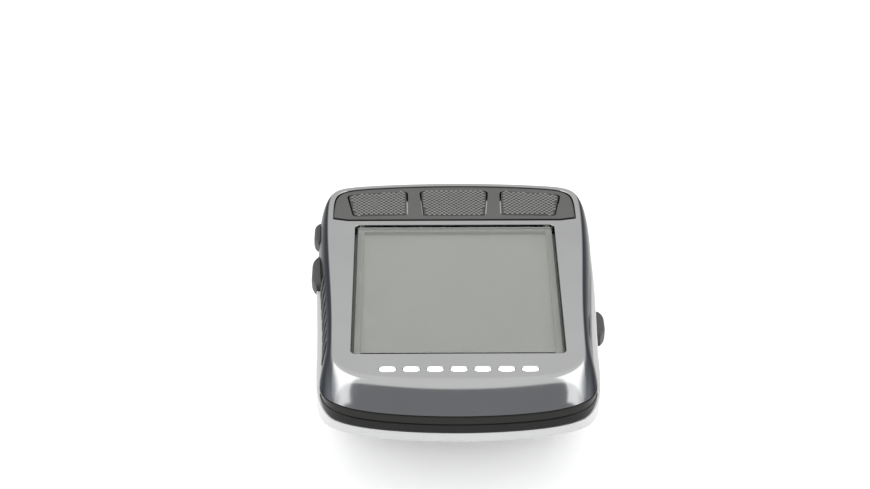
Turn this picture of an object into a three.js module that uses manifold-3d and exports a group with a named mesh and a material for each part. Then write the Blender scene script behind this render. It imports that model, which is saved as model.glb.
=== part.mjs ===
// A cycling computer: a compact head unit with a portrait display, three keys, a row of status lights,
// side buttons, a sealed charging port and a quarter-turn fitting on its underside.
// Millimetres, +Z up (out of the display), -Y is the nose that points forward, +X is the rider's left.
// The origin is the centre of the quarter-turn fitting's bottom face.

import * as THREE from "three";
import { mergeVertices } from "three/addons/utils/BufferGeometryUtils.js";
import Module from "manifold-3d";

const wasm = await Module();
wasm.setup();

// ---- Driving dimensions ----

const gap = 0.3; // clearance left between pieces that sit against or inside each other
const wall = 1.5; // thickness of both case shells

const topZ = 22.1; // the face around the display
const seamZ = 17; // lower rim of the top housing
const bellyZ = 12.5; // height at which the lower housing is widest
const chinZ = 13.9; // height at which the nose starts to slope back under
const chinSlope = 2; // how far the chin runs back for each millimetre it drops
const chinRound = 0.8; // rounding of the chin's edge
const floorZ = 3.2; // outside of the lower housing's floor
const bandBelow = 1.9; // how far the dark band at the nose reaches below the seam
const bandAbove = 0.8; // and above it

const rearLength = 37.3; // origin to the rear end
const noseLength = 37.4; // origin to the tip of the nose
const bodyHalfWidth = 23.65; // half the width of the lower housing
const rimProud = 0.05; // how far the top housing's rim stands out past the lower housing's
const rimPinch = 1.7; // how far that rim narrows towards the waist
const sideLean = 1.8; // how far the sides lean in from the rim to the face
const facePinch = 1.6; // how far the face narrows towards the waist
const waistY = -19.3; // where the top housing is narrowest
const noseSetback = 4.9; // how far the top face ends behind the nose tip
const cornerSquareness = 14; // superellipse power of the rear corners
const noseRoundness = 7; // the same at the nose

const windowWidth = 33.6;
const windowLength = 44.8;
const windowY = -1.7; // centre of the display along the body
const windowThick = 1;
const windowDrop = 0.2; // how far the window lies below the top face
const gasketThick = 0.3; // foam squeezed between the display panel and the case
const panelOverlap = 1; // how far the display panel reaches past the window at its sides
const panelEnd = 1.2; // and at its ends
const panelThick = 1.8;
const backlightThick = 1.4;
const frameThick = 0.7;

const keypadGap = 2.3; // face left between the window and the keypad
const keypadRim = 0.8; // case rim left around the keypad
const keypadThick = 0.9;
const keypadDrop = 0.2; // how far the keypad's skin lies below the top face
const keyRise = 0.1; // how far the key tops stand above the top face
const keyTravel = 0.6;
const keyWall = 1.6; // shelf under the keypad's skin

const ledCount = 7;
const ledPitch = 3.76;
const ledSetback = 5.3; // from the window's nose edge to the row of lights
const ledLensWidth = 2.6;
const ledLensLength = 1.6;

const buttonTravel = 0.5;
const boardThick = 1;
const boardMargin = 5.05; // from the main board's long edges to the outside of the case
const boardRearMargin = 3.9;
const boardNoseMargin = 5.9;
const switchHeight = 2.1;

const batteryWidth = 31;
const batteryLength = 35.5;
const batteryThick = 6.2;
const batteryY = 3.25;
const batteryHeadroom = 1.2; // between the battery and the board above it
const padThick = 0.3;

const neckRadius = 11.2; // quarter-turn fitting
const earRadius = 14.3;
const earThick = 1.6;
const earHalfAngle = 0.5;

const portWidth = 9;
const portHeight = 3.2;
const coverWidth = 14;
const coverHeight = 4.9;
const coverThick = 1;

const caseScrewMargin = 7.05; // from the case screws to the outside of the case
const caseScrewRearMargin = 6.3;
const caseScrewNoseMargin = 11.9;
const caseScrewRadius = 0.95;
const caseHeadRadius = 1.8;
const smallScrewRadius = 0.5;

const beyond = 80; // reaches past the case on every side

// ---- Solids ----

function solid(geometry) {
  const bare = geometry.index ? geometry.toNonIndexed() : geometry;
  const plain = new THREE.BufferGeometry().setAttribute("position", bare.getAttribute("position"));
  const merged = mergeVertices(plain, 1e-4);
  return new wasm.Manifold(
    new wasm.Mesh({
      numProp: 3,
      vertProperties: new Float32Array(merged.attributes.position.array),
      triVerts: new Uint32Array(merged.index.array),
    }),
  );
}

function box(x0, x1, y0, y1, z0, z1) {
  const g = new THREE.BoxGeometry(x1 - x0, y1 - y0, z1 - z0);
  return solid(g.translate((x0 + x1) / 2, (y0 + y1) / 2, (z0 + z1) / 2));
}

function rod(radius, x, y, z0, z1, sides = 16) {
  const g = new THREE.CylinderGeometry(radius, radius, z1 - z0, sides).rotateX(Math.PI / 2);
  return solid(g.translate(x, y, (z0 + z1) / 2));
}

// A closed outline with every corner rounded, as a shape in the XY plane.
function roundedShape(points, radius, arcSteps = 4) {
  const v = points.map(([x, y]) => new THREE.Vector2(x, y));
  const shape = new THREE.Shape();
  v.forEach((p, i) => {
    const toPrevious = v[(i + v.length - 1) % v.length].clone().sub(p).normalize();
    const toNext = v[(i + 1) % v.length].clone().sub(p).normalize();
    const half = Math.acos(THREE.MathUtils.clamp(toPrevious.dot(toNext), -1, 1)) / 2;
    const reach = radius / Math.tan(half);
    const inward = toPrevious.clone().add(toNext).normalize();
    const centre = p.clone().addScaledVector(inward, radius / Math.sin(half));
    const from = p.clone().addScaledVector(toPrevious, reach).sub(centre).angle();
    let turn = p.clone().addScaledVector(toNext, reach).sub(centre).angle() - from;
    if (turn > Math.PI) turn -= 2 * Math.PI;
    if (turn < -Math.PI) turn += 2 * Math.PI;
    for (let k = 0; k <= arcSteps; k++) {
      const a = from + (turn * k) / arcSteps;
      const [x, y] = [centre.x + radius * Math.cos(a), centre.y + radius * Math.sin(a)];
      if (i === 0 && k === 0) shape.moveTo(x, y);
      else shape.lineTo(x, y);
    }
  });
  return shape;
}

function slab(shape, z0, z1) {
  const g = new THREE.ExtrudeGeometry(shape, { depth: z1 - z0, bevelEnabled: false, steps: 1 });
  return solid(g.translate(0, 0, z0));
}

function rectangle(x0, x1, y0, y1) {
  return [
    [x0, y0],
    [x1, y0],
    [x1, y1],
    [x0, y1],
  ];
}

function plate(x0, x1, y0, y1, z0, z1, radius) {
  return slab(roundedShape(rectangle(x0, x1, y0, y1), radius), z0, z1);
}

// A polygon, counter-clockwise, with every edge moved outwards by one distance.
function grow(points, distance) {
  const edges = points.map(([x0, y0], i) => {
    const [x1, y1] = points[(i + 1) % points.length];
    const length = Math.hypot(x1 - x0, y1 - y0);
    const normal = [(y1 - y0) / length, (x0 - x1) / length];
    return { normal, offset: normal[0] * x0 + normal[1] * y0 + distance };
  });
  return edges.map((b, i) => {
    const a = edges[(i + edges.length - 1) % edges.length];
    const cross = a.normal[0] * b.normal[1] - a.normal[1] * b.normal[0];
    return [
      (a.offset * b.normal[1] - b.offset * a.normal[1]) / cross,
      (a.normal[0] * b.offset - b.normal[0] * a.offset) / cross,
    ];
  });
}

function union(solids) {
  return solids.reduce((a, b) => a.add(b));
}

// ---- The body's outline ----

const seamHalfWidth = bodyHalfWidth + rimProud;
const seamWaist = seamHalfWidth - rimPinch;
const faceHalfWidth = seamHalfWidth - sideLean;
const faceWaist = faceHalfWidth - facePinch;

// One horizontal outline of the body. Its sides run from the rear half-width to the waist, and flare
// again towards the nose; both ends are bowed superellipses.
const facePlan = {
  rear: rearLength,
  nose: noseLength - noseSetback,
  half: faceHalfWidth,
  waist: faceWaist,
  flare: 0,
  taperFrom: 27,
  rearBow: 1.9,
  noseBow: 1.9,
};
const seamPlan = {
  rear: rearLength + 0.2,
  nose: noseLength,
  half: seamHalfWidth,
  waist: seamWaist,
  flare: 0.45,
  taperFrom: 27,
  rearBow: 2.2,
  noseBow: 3.7,
};
const rimPlan = { ...seamPlan, half: bodyHalfWidth, waist: bodyHalfWidth - 0.75, flare: 0, taperFrom: 14 };
const bellyPlan = { ...rimPlan, nose: noseLength - 0.1 };
const floorInset = 3.2;
const floorPlan = {
  ...bellyPlan,
  rear: rearLength - floorInset,
  half: bodyHalfWidth - floorInset,
  waist: bellyPlan.waist - floorInset,
};

function mix(a, b, t) {
  return Object.fromEntries(Object.keys(a).map((key) => [key, a[key] + (b[key] - a[key]) * t]));
}

function inset(plan, d) {
  return { ...plan, rear: plan.rear - d, nose: plan.nose - d, half: plan.half - d, waist: plan.waist - d };
}

function smooth(t) {
  const c = THREE.MathUtils.clamp(t, 0, 1);
  return c * c * (3 - 2 * c);
}

const quadrantSteps = 11;
const flareLength = 7;

function outline(plan) {
  const points = [];
  for (let quadrant = 0; quadrant < 4; quadrant++) {
    for (let k = 0; k < quadrantSteps; k++) {
      const u = -1 + (2 * k) / quadrantSteps;
      const angle = (quadrant + 0.5 + 0.5 * (0.4 * u + 0.6 * u ** 3)) * (Math.PI / 2);
      const [c, s] = [Math.cos(angle), Math.sin(angle)];
      const power = s > 0 ? cornerSquareness : noseRoundness;
      const reach = (Math.abs(c) ** power + Math.abs(s) ** power) ** (-1 / power);
      const [across, along] = [reach * c, reach * s];
      const bow = (s > 0 ? plan.rearBow : -plan.noseBow) * across ** 2 * Math.abs(along) ** 6;
      const y = along * (s > 0 ? plan.rear : plan.nose) - bow;
      const taper = (plan.half - plan.waist) * smooth((plan.taperFrom - y) / (plan.taperFrom - waistY));
      const flare = plan.flare * smooth((waistY - y) / flareLength);
      points.push([across * (plan.half - taper + flare), y]);
    }
  }
  return points;
}

// A closed solid through outlines stacked in rising order of height.
function loft(levels) {
  const rings = levels.map(({ plan, z }) => outline(plan).map(([x, y]) => [x, y, z]));
  const count = rings[0].length;
  const position = rings.flat(2);
  const bottom = rings.length * count;
  position.push(0, 0, levels[0].z, 0, 0, levels[levels.length - 1].z);
  const index = [];
  for (let i = 0; i < count; i++) {
    const j = (i + 1) % count;
    for (let r = 0; r + 1 < rings.length; r++) {
      const [a, b] = [r * count + i, r * count + j];
      index.push(a, b, b + count, a, b + count, a + count);
    }
    const last = (rings.length - 1) * count;
    index.push(bottom, j, i, bottom + 1, last + i, last + j);
  }
  const g = new THREE.BufferGeometry();
  g.setAttribute("position", new THREE.Float32BufferAttribute(position, 3));
  g.setIndex(index);
  return solid(g);
}

// The top housing's side leans in as it rises and rolls over into the face.
function topLevels(d) {
  const [low, high] = [seamZ, topZ - d];
  const steps = 6;
  const levels = [{ plan: inset(seamPlan, d), z: low }];
  for (let k = 1; k <= steps; k++) {
    const a = (k / steps) * (Math.PI / 2);
    const rise = Math.sin(a) ** 0.9;
    const lean = 1 - Math.cos(a) ** 1.1;
    levels.push({ plan: inset(mix(seamPlan, facePlan, lean), d), z: low + (high - low) * rise });
  }
  return levels;
}

// The chin slopes back under the nose, so its wall is wider along the body than it is thick.
const chinWallRatio = Math.hypot(1, chinSlope) - 1;

function chinRecede(z) {
  return z < chinZ ? chinSlope * (Math.hypot(chinZ - z, chinRound) - chinRound) : 0;
}

// The lower housing is widest at the belly and curves under into the floor.
function lowerLevels(d, rim) {
  const steps = 6;
  const levels = [];
  for (let k = 0; k <= steps; k++) {
    const a = (k / steps) * (Math.PI / 2);
    const drop = Math.cos(a) ** 0.8;
    const lean = 1 - Math.sin(a) ** 0.8;
    const z = bellyZ - (bellyZ - floorZ - d) * drop;
    levels.push({ plan: inset(mix(bellyPlan, floorPlan, lean), d), z });
  }
  for (const z of [(bellyZ + chinZ) / 2, chinZ, rim]) levels.push({ plan: inset(rimPlan, d), z });
  return levels.map(({ plan, z }) => {
    const slanted = THREE.MathUtils.clamp((chinZ - z) / 2, 0, 1);
    return { plan: { ...plan, nose: plan.nose - chinRecede(z) - d * chinWallRatio * slanted }, z };
  });
}

// ---- Places of the inner pieces, worked out from the driving dimensions ----

const ceilingZ = topZ - wall;
const windowTop = topZ - windowDrop;
const windowBottom = windowTop - windowThick;
const panelTop = ceilingZ - gasketThick;
const panelBottom = panelTop - panelThick;
const frameTop = panelBottom - backlightThick;
const frameBottom = frameTop - frameThick;
const rimZ = seamZ - gap;
const innerFloorZ = floorZ + wall;
const batteryBottom = innerFloorZ + padThick;
const batteryTop = batteryBottom + batteryThick;
const boardBottom = batteryTop + batteryHeadroom;
const boardTop = boardBottom + boardThick;
const bossTop = boardTop - 0.8;
const postBottom = bossTop + gap;

const windowRearY = windowY + windowLength / 2;
const windowNoseY = windowY - windowLength / 2;
const keypadStartY = windowRearY + keypadGap;
const keypadRearY = facePlan.rear - keypadRim - gap;
const ledY = windowNoseY - ledSetback;
const panelHalfWidth = windowWidth / 2 + panelOverlap;
const panelRearY = windowRearY + panelEnd;
const panelNoseY = windowNoseY - panelEnd;
const frameRearY = panelRearY + 0.1;
const frameNoseY = ledY - 3.2;
const batteryRearY = batteryY + batteryLength / 2;
const batteryNoseY = batteryY - batteryLength / 2;
const boardHalfWidth = bodyHalfWidth - boardMargin;
const boardRearY = rearLength - boardRearMargin;
const boardNoseY = boardNoseMargin - noseLength;
const caseScrewX = bodyHalfWidth - caseScrewMargin;
const caseScrewRearY = rearLength - caseScrewRearMargin;
const caseScrewNoseY = caseScrewNoseMargin - noseLength;

const finishes = {
  satinGrey: { color: 0x6b7178, roughness: 0.35, metalness: 0.6 },
  whitePlastic: { color: 0xe6e6e4, roughness: 0.35, metalness: 0 },
  blackPlastic: { color: 0x1c1c1e, roughness: 0.5, metalness: 0 },
  greyRubber: { color: 0x55534f, roughness: 0.7, metalness: 0 },
  glass: { color: 0x9fa29b, roughness: 0.1, metalness: 0 },
  display: { color: 0x9a9d95, roughness: 0.4, metalness: 0 },
  clearPlastic: { color: 0xf4f6f8, roughness: 0.3, metalness: 0 },
  board: { color: 0x1e5a3c, roughness: 0.5, metalness: 0 },
  foil: { color: 0xb8bcc0, roughness: 0.35, metalness: 0.8 },
  steel: { color: 0x9a9da0, roughness: 0.3, metalness: 1 },
  ceramic: { color: 0xb9a68a, roughness: 0.6, metalness: 0 },
  amberFilm: { color: 0xa8642a, roughness: 0.4, metalness: 0 },
  foam: { color: 0x2a2a2c, roughness: 0.9, metalness: 0 },
};

const computer = new THREE.Group();

function piece(name, body, finish) {
  const mesh = body.getMesh();
  const g = new THREE.BufferGeometry();
  g.setAttribute("position", new THREE.BufferAttribute(new Float32Array(mesh.vertProperties), 3));
  g.setIndex(new THREE.BufferAttribute(new Uint32Array(mesh.triVerts), 1));
  g.computeVertexNormals();
  const made = new THREE.Mesh(g, new THREE.MeshStandardMaterial(finishes[finish]));
  made.name = name;
  computer.add(made);
}

// A flat outline in the YZ plane (points are [y, z]) given thickness along X.
const acrossX = new THREE.Matrix4().makeBasis(
  new THREE.Vector3(0, 1, 0),
  new THREE.Vector3(0, 0, 1),
  new THREE.Vector3(1, 0, 0),
);

function sideSlab(points, x0, x1, radius) {
  const g = new THREE.ExtrudeGeometry(roundedShape(points, radius, 3), {
    depth: x1 - x0,
    bevelEnabled: false,
    steps: 1,
  });
  return solid(g.translate(0, 0, x0).applyMatrix4(acrossX));
}

function sidePrism(points, x0, x1) {
  const shape = new THREE.Shape(points.map(([y, z]) => new THREE.Vector2(y, z)));
  const g = new THREE.ExtrudeGeometry(shape, { depth: x1 - x0, bevelEnabled: false, steps: 1 });
  return solid(g.translate(0, 0, x0).applyMatrix4(acrossX));
}

function rodAlongX(radius, x0, x1, y, z) {
  const g = new THREE.CylinderGeometry(radius, radius, x1 - x0, 16).rotateZ(-Math.PI / 2);
  return solid(g.translate((x0 + x1) / 2, y, z));
}

// ---- Keys and keypad ----

const capTop = topZ + keyRise;
const skinTop = topZ - keypadDrop;
const shelfTop = skinTop - keypadThick;
const shelfBottom = shelfTop - keyWall;
const flangeTop = shelfBottom - gap;
const flangeThick = 0.8;
const flangeReach = 0.5;
const stemRadius = 0.8;
const switchTop = boardTop + switchHeight;
const switchWellFloor = boardTop + 0.8;
const stemBottom = switchWellFloor + keyTravel + 0.1;
const switchSize = 4;

// The outer keys follow the keypad's rounded corners. Each stem stands a little forward of its key's middle.
const keypadMiddleY = (keypadStartY + keypadRearY) / 2;
const leftKey = [
  [4.5 - faceHalfWidth, keypadStartY + 1.8],
  [-8.3, keypadStartY + 2.3],
  [-8.4, keypadRearY - 1.5],
  [3.3 - faceHalfWidth, keypadRearY - 3.1],
];
const keys = {
  key_left: { shape: leftKey, stem: [-12, keypadMiddleY - 1.1] },
  key_center: {
    shape: [
      [-5.25, keypadStartY + 2],
      [5.25, keypadStartY + 2],
      [5.8, keypadRearY - 1.45],
      [-5.8, keypadRearY - 1.45],
    ],
    stem: [0, keypadMiddleY + 0.3],
  },
  key_right: { shape: leftKey.map(([x, y]) => [-x, y]).reverse(), stem: [12, keypadMiddleY - 1.1] },
};
const keyCorner = 0.9;

function keySlab(key, distance, z0, z1) {
  return slab(roundedShape(grow(key.shape, distance), keyCorner + distance), z0, z1);
}

// ---- Side buttons: two on the left straddling the seam, and the power button on the right ----

const stemZ = boardTop + 1.1;
const sideStemRadius = 0.6;
const flangeOuterX = bodyHalfWidth - wall - 1.25;
const sideFlangeThick = 0.7;
const sideSwitchX = [flangeOuterX - 5.3, flangeOuterX - 2.5];
const sideSwitchWell = 1.4;
const pairOuterX = seamHalfWidth + 0.8;
const powerOuterX = seamHalfWidth + 0.95;
const sideButtons = {
  side_button_rear: { side: -1, y: [22.2, 30.5], z: [15.6, 18], slant: 0.8, outerX: pairOuterX, endTaper: 2 },
  side_button_front: { side: -1, y: [6.4, 17.6], z: [15.6, 18], slant: 0.8, outerX: pairOuterX, endTaper: 2 },
  power_button: { side: 1, y: [-7.5, 1.2], z: [13.2, 16], slant: 0.9, outerX: powerOuterX, endTaper: 2.4 },
};
const buttonFeet = stemZ - sideStemRadius - 0.2;

function buttonOutline({ y, z, slant }) {
  return [
    [y[0] + slant, z[0]],
    [y[1] - slant, z[0]],
    [y[1], z[1]],
    [y[0], z[1]],
  ];
}

// The ends of a button's cap taper in plan as it comes out of the case.
function buttonPlan({ side, y, outerX, endTaper }) {
  const [inner, shoulder] = [flangeOuterX - 1, outerX - 1];
  const half = [
    [inner, y[0]],
    [shoulder, y[0]],
    [outerX, y[0] + endTaper],
    [outerX, y[1] - endTaper],
    [shoulder, y[1]],
    [inner, y[1]],
  ];
  return side > 0 ? half : half.map(([x, along]) => [-x, along]).reverse();
}

function buttonOpening(button) {
  const outline = grow(buttonOutline(button), gap);
  const [x0, x1] = button.side < 0 ? [-beyond, 1.9 - flangeOuterX] : [flangeOuterX - 1.9, beyond];
  const [low, high] = [Math.min(rimZ, button.z[1]) - 0.5, rimZ + gap / 2];
  const mouth = box(x0, x1, button.y[0] - gap, button.y[1] + gap, low, Math.max(high, low + 0.1));
  return button.z[1] > rimZ ? sidePrism(outline, x0, x1) : sidePrism(outline, x0, x1).add(mouth);
}

const openings = union(Object.values(sideButtons).map(buttonOpening));

// ---- Case ----

const screwPosts = [
  [-caseScrewX, caseScrewRearY],
  [caseScrewX, caseScrewRearY],
  [-caseScrewX, caseScrewNoseY],
  [caseScrewX, caseScrewNoseY],
];
const postRadius = 1.9;
const postTop = frameBottom - gap;
const ribHalf = 0.8;
const ribTop = seamZ + 1.2;
const earY = [3.6, -16];
const frameHalf = panelHalfWidth + 0.2;
const earX = frameHalf + 1.3;

const topOuter = loft(topLevels(0));
const topCavity = loft([{ plan: inset(seamPlan, wall), z: seamZ - 1 }, ...topLevels(wall)]);
const insideLower = loft([...lowerLevels(wall + gap, rimZ), { plan: inset(rimPlan, wall + gap), z: seamZ }]);

const insideCase = loft([
  { plan: inset(seamPlan, wall + gap), z: 0 },
  { plan: inset(seamPlan, wall + gap), z: beyond },
]);
const keypadRegion = box(-beyond, beyond, keypadStartY, beyond, 0, beyond);

function facePrism(distance, z0, z1) {
  const plan = inset(facePlan, distance);
  return loft([
    { plan, z: z0 },
    { plan, z: z1 },
  ]);
}

function windowPlate(margin, z0, z1, corner) {
  const [w, l] = [windowWidth / 2 + margin, windowLength / 2 + margin];
  return plate(-w, w, windowY - l, windowY + l, z0, z1, corner);
}

function ledSlot(i, margin, z0, z1) {
  const x = (i - (ledCount - 1) / 2) * ledPitch;
  const [w, l] = [ledLensWidth / 2 + margin, ledLensLength / 2 + margin];
  return plate(x - w, x + w, ledY - l, ledY + l, z0, z1, l - 0.2);
}
const leds = [...Array(ledCount).keys()];
const lensGap = 0.15;

const stackWidth = frameHalf + gap;
const stackKeepOut = box(-stackWidth, stackWidth, frameNoseY - gap, frameRearY + gap, postTop, beyond);
const keysLowZ = flangeTop - flangeThick - keyTravel - gap;
const keysKeepOut = union(
  Object.values(keys).map((key) => keySlab(key, flangeReach + gap, keysLowZ, beyond)),
);

const posts = union(
  screwPosts.map(([x, y]) => {
    const post = rod(postRadius, x, y, postBottom, postTop);
    const [x0, x1] = x < 0 ? [-beyond, x] : [x, beyond];
    const rib =
      y > 0
        ? box(x - ribHalf, x + ribHalf, y, beyond, boardTop + gap, ribTop)
        : box(x0, x1, y - ribHalf, y + ribHalf, boardTop + gap, ribTop);
    return post.add(rib);
  }),
)
  .subtract(stackKeepOut)
  .subtract(keysKeepOut)
  .intersect(insideLower.add(topOuter));
const frameScrewX = [-earX, earX];
const framePosts = union(
  frameScrewX.flatMap((x) => earY.map((y) => rod(1.1, x, y, frameTop, ceilingZ + 0.3, 14))),
).intersect(topOuter);
const shelfLayer = box(-beyond, beyond, keypadStartY - 0.8, beyond, shelfBottom, shelfTop + gap);
const shelf = shelfLayer.intersect(topOuter);

const ribCount = 7;
const ribPitch = 3.8;
const gripRibs = union(
  [...Array(ribCount).keys()].map((i) => {
    const g = new THREE.BoxGeometry(1.4, 0.9, 3.2);
    g.rotateX(0.5).rotateY(-0.3).translate(0.55 - seamWaist + 0.03 * i, 3.6 - i * ribPitch, seamZ + 2);
    return solid(g);
  }),
);

const postHoles = union(
  screwPosts.map(([x, y]) => rod(caseScrewRadius + gap, x, y, postBottom - 1, postTop - 0.6, 14)),
);
const frameHoles = union(
  frameScrewX.flatMap((x) =>
    earY.map((y) => rod(smallScrewRadius + gap, x, y, frameTop - 1, ceilingZ - 0.5, 10)),
  ),
);

// The band at the nose is level in front, and its two tails taper to nothing at the seam.
const bandLevelY = 4.4 - noseLength;
const bandTailY = 11.4 - noseLength;
const bandTailStretch = 9; // keeps the clearance along the tails' flat slopes
function bandWedge(d) {
  const [low, high] = [seamZ - bandBelow - d, seamZ + bandAbove + d];
  return sidePrism(
    [
      [-beyond, low],
      [bandLevelY, low],
      [bandTailY + d * bandTailStretch, seamZ],
      [bandLevelY, high],
      [-beyond, high],
    ],
    -beyond,
    beyond,
  );
}
const bandProud = 0.15;
const bandPlan = inset(seamPlan, -bandProud);
const insideBand = loft([
  { plan: inset(seamPlan, wall), z: seamZ - bandBelow - 1 },
  { plan: inset(seamPlan, wall), z: seamZ + bandAbove + 1 },
]);

const topHousing = topOuter
  .subtract(topCavity)
  .add(posts)
  .add(framePosts)
  .add(shelf)
  .add(gripRibs.subtract(topCavity))
  .subtract(postHoles)
  .subtract(frameHoles)
  .subtract(windowPlate(gap, ceilingZ - 0.5, topZ + 1, 0.8))
  .subtract(facePrism(keypadRim, shelfTop, topZ + 1).intersect(keypadRegion.translate([0, -gap, 0])))
  .subtract(union(Object.values(keys).map((key) => keySlab(key, gap, shelfBottom - 1, topZ + 1))))
  .subtract(union(leds.map((i) => ledSlot(i, lensGap, ceilingZ - 1, topZ + 1))))
  .subtract(bandWedge(gap).subtract(insideBand))
  .subtract(openings);
piece("top_housing", topHousing, "satinGrey");

const bandRing = loft([
  { plan: bandPlan, z: seamZ - bandBelow },
  { plan: bandPlan, z: seamZ + bandAbove },
]).subtract(insideBand);
piece("nose_band", bandRing.intersect(bandWedge(0)), "blackPlastic");

// Lower housing: a tub with screw bosses, board bosses, the port's opening and the cover's pocket.
const headSeatRear = 6.6;
const headSeatNose = 10.6;
const headSeat = (y) => (y > 0 ? headSeatRear : headSeatNose);
const counterbore = caseHeadRadius + 0.3;
const bossRadius = counterbore + 0.7;
const boardBosses = [
  [0, 8.6 - noseLength],
  [8, batteryRearY + 4],
];
const boardBossRadius = 1.8;
const portZ = boardBottom - portHeight / 2;
const coverTopZ = boardBottom + 0.9;
const coverBottomZ = coverTopZ - coverHeight;
const coverOuterY = rearLength + 0.1;
const coverInnerY = coverOuterY - coverThick + 0.2;
const pocketY = coverInnerY - 0.1;
const plugTopZ = portZ + 1.1;
const plugBottomZ = portZ - 1.1;
const vent = [-12, rearLength - 10.3];
const mountScrewRing = 8;
const mountScrews = [...Array(4).keys()].map((i) => {
  const a = ((i + 0.5) * Math.PI) / 2;
  return [mountScrewRing * Math.cos(a), mountScrewRing * Math.sin(a)];
});

const lowerOuter = loft(lowerLevels(0, rimZ));
const lowerCavity = loft([...lowerLevels(wall, rimZ), { plan: inset(rimPlan, wall), z: seamZ + 1 }]);
const caseBosses = union(screwPosts.map(([x, y]) => rod(bossRadius, x, y, floorZ, bossTop)));
const supports = union(boardBosses.map(([x, y]) => rod(boardBossRadius, x, y, floorZ, boardBottom, 16)));
const lowerHoles = union([
  ...screwPosts.map(([x, y]) => rod(counterbore, x, y, 0, headSeat(y))),
  ...screwPosts.map(([x, y]) => rod(caseScrewRadius + gap, x, y, headSeat(y) - 0.1, bossTop + 1, 14)),
  ...boardBosses.map(([x, y]) => rod(smallScrewRadius + gap, x, y, boardBottom - 2.3, boardBottom + 1, 10)),
  ...mountScrews.map(([x, y]) => rod(0.9, x, y, floorZ - 1, floorZ + 1.2, 12)),
  rod(0.8, vent[0], vent[1], floorZ - 1, innerFloorZ + 0.5, 12),
]);
const portHalf = portWidth / 2 + gap;
const portOpening = box(-portHalf, portHalf, rearLength - 7.3, beyond, plugBottomZ - 0.8, plugTopZ + gap);
const coverHalf = coverWidth / 2 + gap;
const coverPocket = box(-coverHalf, coverHalf, pocketY, beyond, coverBottomZ - gap, coverTopZ + gap);

const lowerHousing = lowerOuter
  .subtract(lowerCavity)
  .add(caseBosses.add(supports).intersect(lowerOuter))
  .subtract(lowerHoles)
  .subtract(portOpening)
  .subtract(coverPocket)
  .subtract(bandWedge(gap))
  .subtract(openings);
piece("lower_housing", lowerHousing, "whitePlastic");

// ---- Keypad skin, keys and their switches ----

const keypadStrip = facePrism(keypadRim + gap, shelfTop, skinTop)
  .intersect(keypadRegion)
  .subtract(union(Object.values(keys).map((key) => keySlab(key, gap, shelfTop - 1, skinTop + 1))));
piece("keypad_strip", keypadStrip, "greyRubber");

for (const [name, key] of Object.entries(keys)) {
  const [x, y] = key.stem;
  const cap = keySlab(key, 0, flangeTop - flangeThick / 2, capTop);
  const flange = keySlab(key, flangeReach, flangeTop - flangeThick, flangeTop);
  const stem = rod(stemRadius, x, y, stemBottom, flangeTop, 12);
  piece(name, cap.add(flange).add(stem), "greyRubber");
  const half = switchSize / 2;
  const body = plate(x - half, x + half, y - half, y + half, boardTop, switchTop, 0.5);
  const well = rod(stemRadius + gap, x, y, switchWellFloor, switchTop + 1, 12);
  piece(name.replace("key", "key_switch"), body.subtract(well), "blackPlastic");
}

// ---- Side buttons and their switches ----

for (const [name, button] of Object.entries(sideButtons)) {
  const { side, y, z, outerX } = button;
  const middle = (y[0] + y[1]) / 2;
  const span = (a, b) => [Math.min(side * a, side * b), Math.max(side * a, side * b)];
  const block = sideSlab(buttonOutline(button), ...span(flangeOuterX - 0.2, outerX), 0.6);
  const cap = block.intersect(slab(roundedShape(buttonPlan(button), 0.3), 0, beyond));
  const flangeOutline = rectangle(y[0], y[1], buttonFeet, z[1] + flangeReach / 2);
  const flange = sideSlab(flangeOutline, ...span(flangeOuterX - sideFlangeThick, flangeOuterX), 0.4);
  const stemTip = sideSwitchX[1] - sideSwitchWell + buttonTravel + 0.1;
  const stem = rodAlongX(sideStemRadius, ...span(stemTip, flangeOuterX - 0.1), middle, stemZ);
  piece(name, cap.add(flange).add(stem), "greyRubber");
  const [x0, x1] = span(...sideSwitchX);
  const well = rodAlongX(
    sideStemRadius + gap,
    ...span(sideSwitchX[1] - sideSwitchWell, sideSwitchX[1] + 1),
    middle,
    stemZ,
  );
  const body = box(x0, x1, middle - 1.8, middle + 1.8, boardTop, switchTop).subtract(well);
  piece(name.replace("button", "switch"), body, "blackPlastic");
}

// ---- Display stack, from the window down to its carrying frame ----

piece("display_window", windowPlate(0, windowBottom, windowTop, 0.6), "glass");

function ring(outer, inner, z0, z1) {
  return plate(...outer, z0, z1, 0.5).subtract(plate(...inner, z0 - 1, z1 + 1, 0.3));
}

function around(margin) {
  const [w, l] = [windowWidth / 2 + margin, windowLength / 2 + margin];
  return [-w, w, windowY - l, windowY + l];
}
piece("window_adhesive", ring(around(-0.1), around(-1.1), panelTop, windowBottom), "foam");
piece("display_gasket", ring(around(0.9), around(gap + 0.1), panelTop, ceilingZ), "foam");

const panelBox = [-panelHalfWidth, panelHalfWidth, panelNoseY, panelRearY];
piece("display_panel", plate(...panelBox, panelBottom, panelTop, 0.4), "display");
piece("backlight", plate(...panelBox, frameTop, panelBottom, 0.4), "clearPlastic");

const earHalf = 1.1;
const earReach = earX + earHalf;
const ears = union(
  earY.map((y) => plate(-earReach, earReach, y - earHalf, y + earHalf, frameBottom, frameTop, 0.5)),
);
const displayFrame = plate(-frameHalf, frameHalf, frameNoseY, frameRearY, frameBottom, frameTop, 1.5)
  .add(ears)
  .subtract(
    union(
      frameScrewX.flatMap((x) =>
        earY.map((y) => rod(smallScrewRadius + gap, x, y, frameBottom - 1, frameTop + 1, 10)),
      ),
    ),
  )
  .intersect(insideCase);
piece("display_frame", displayFrame, "steel");

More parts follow.
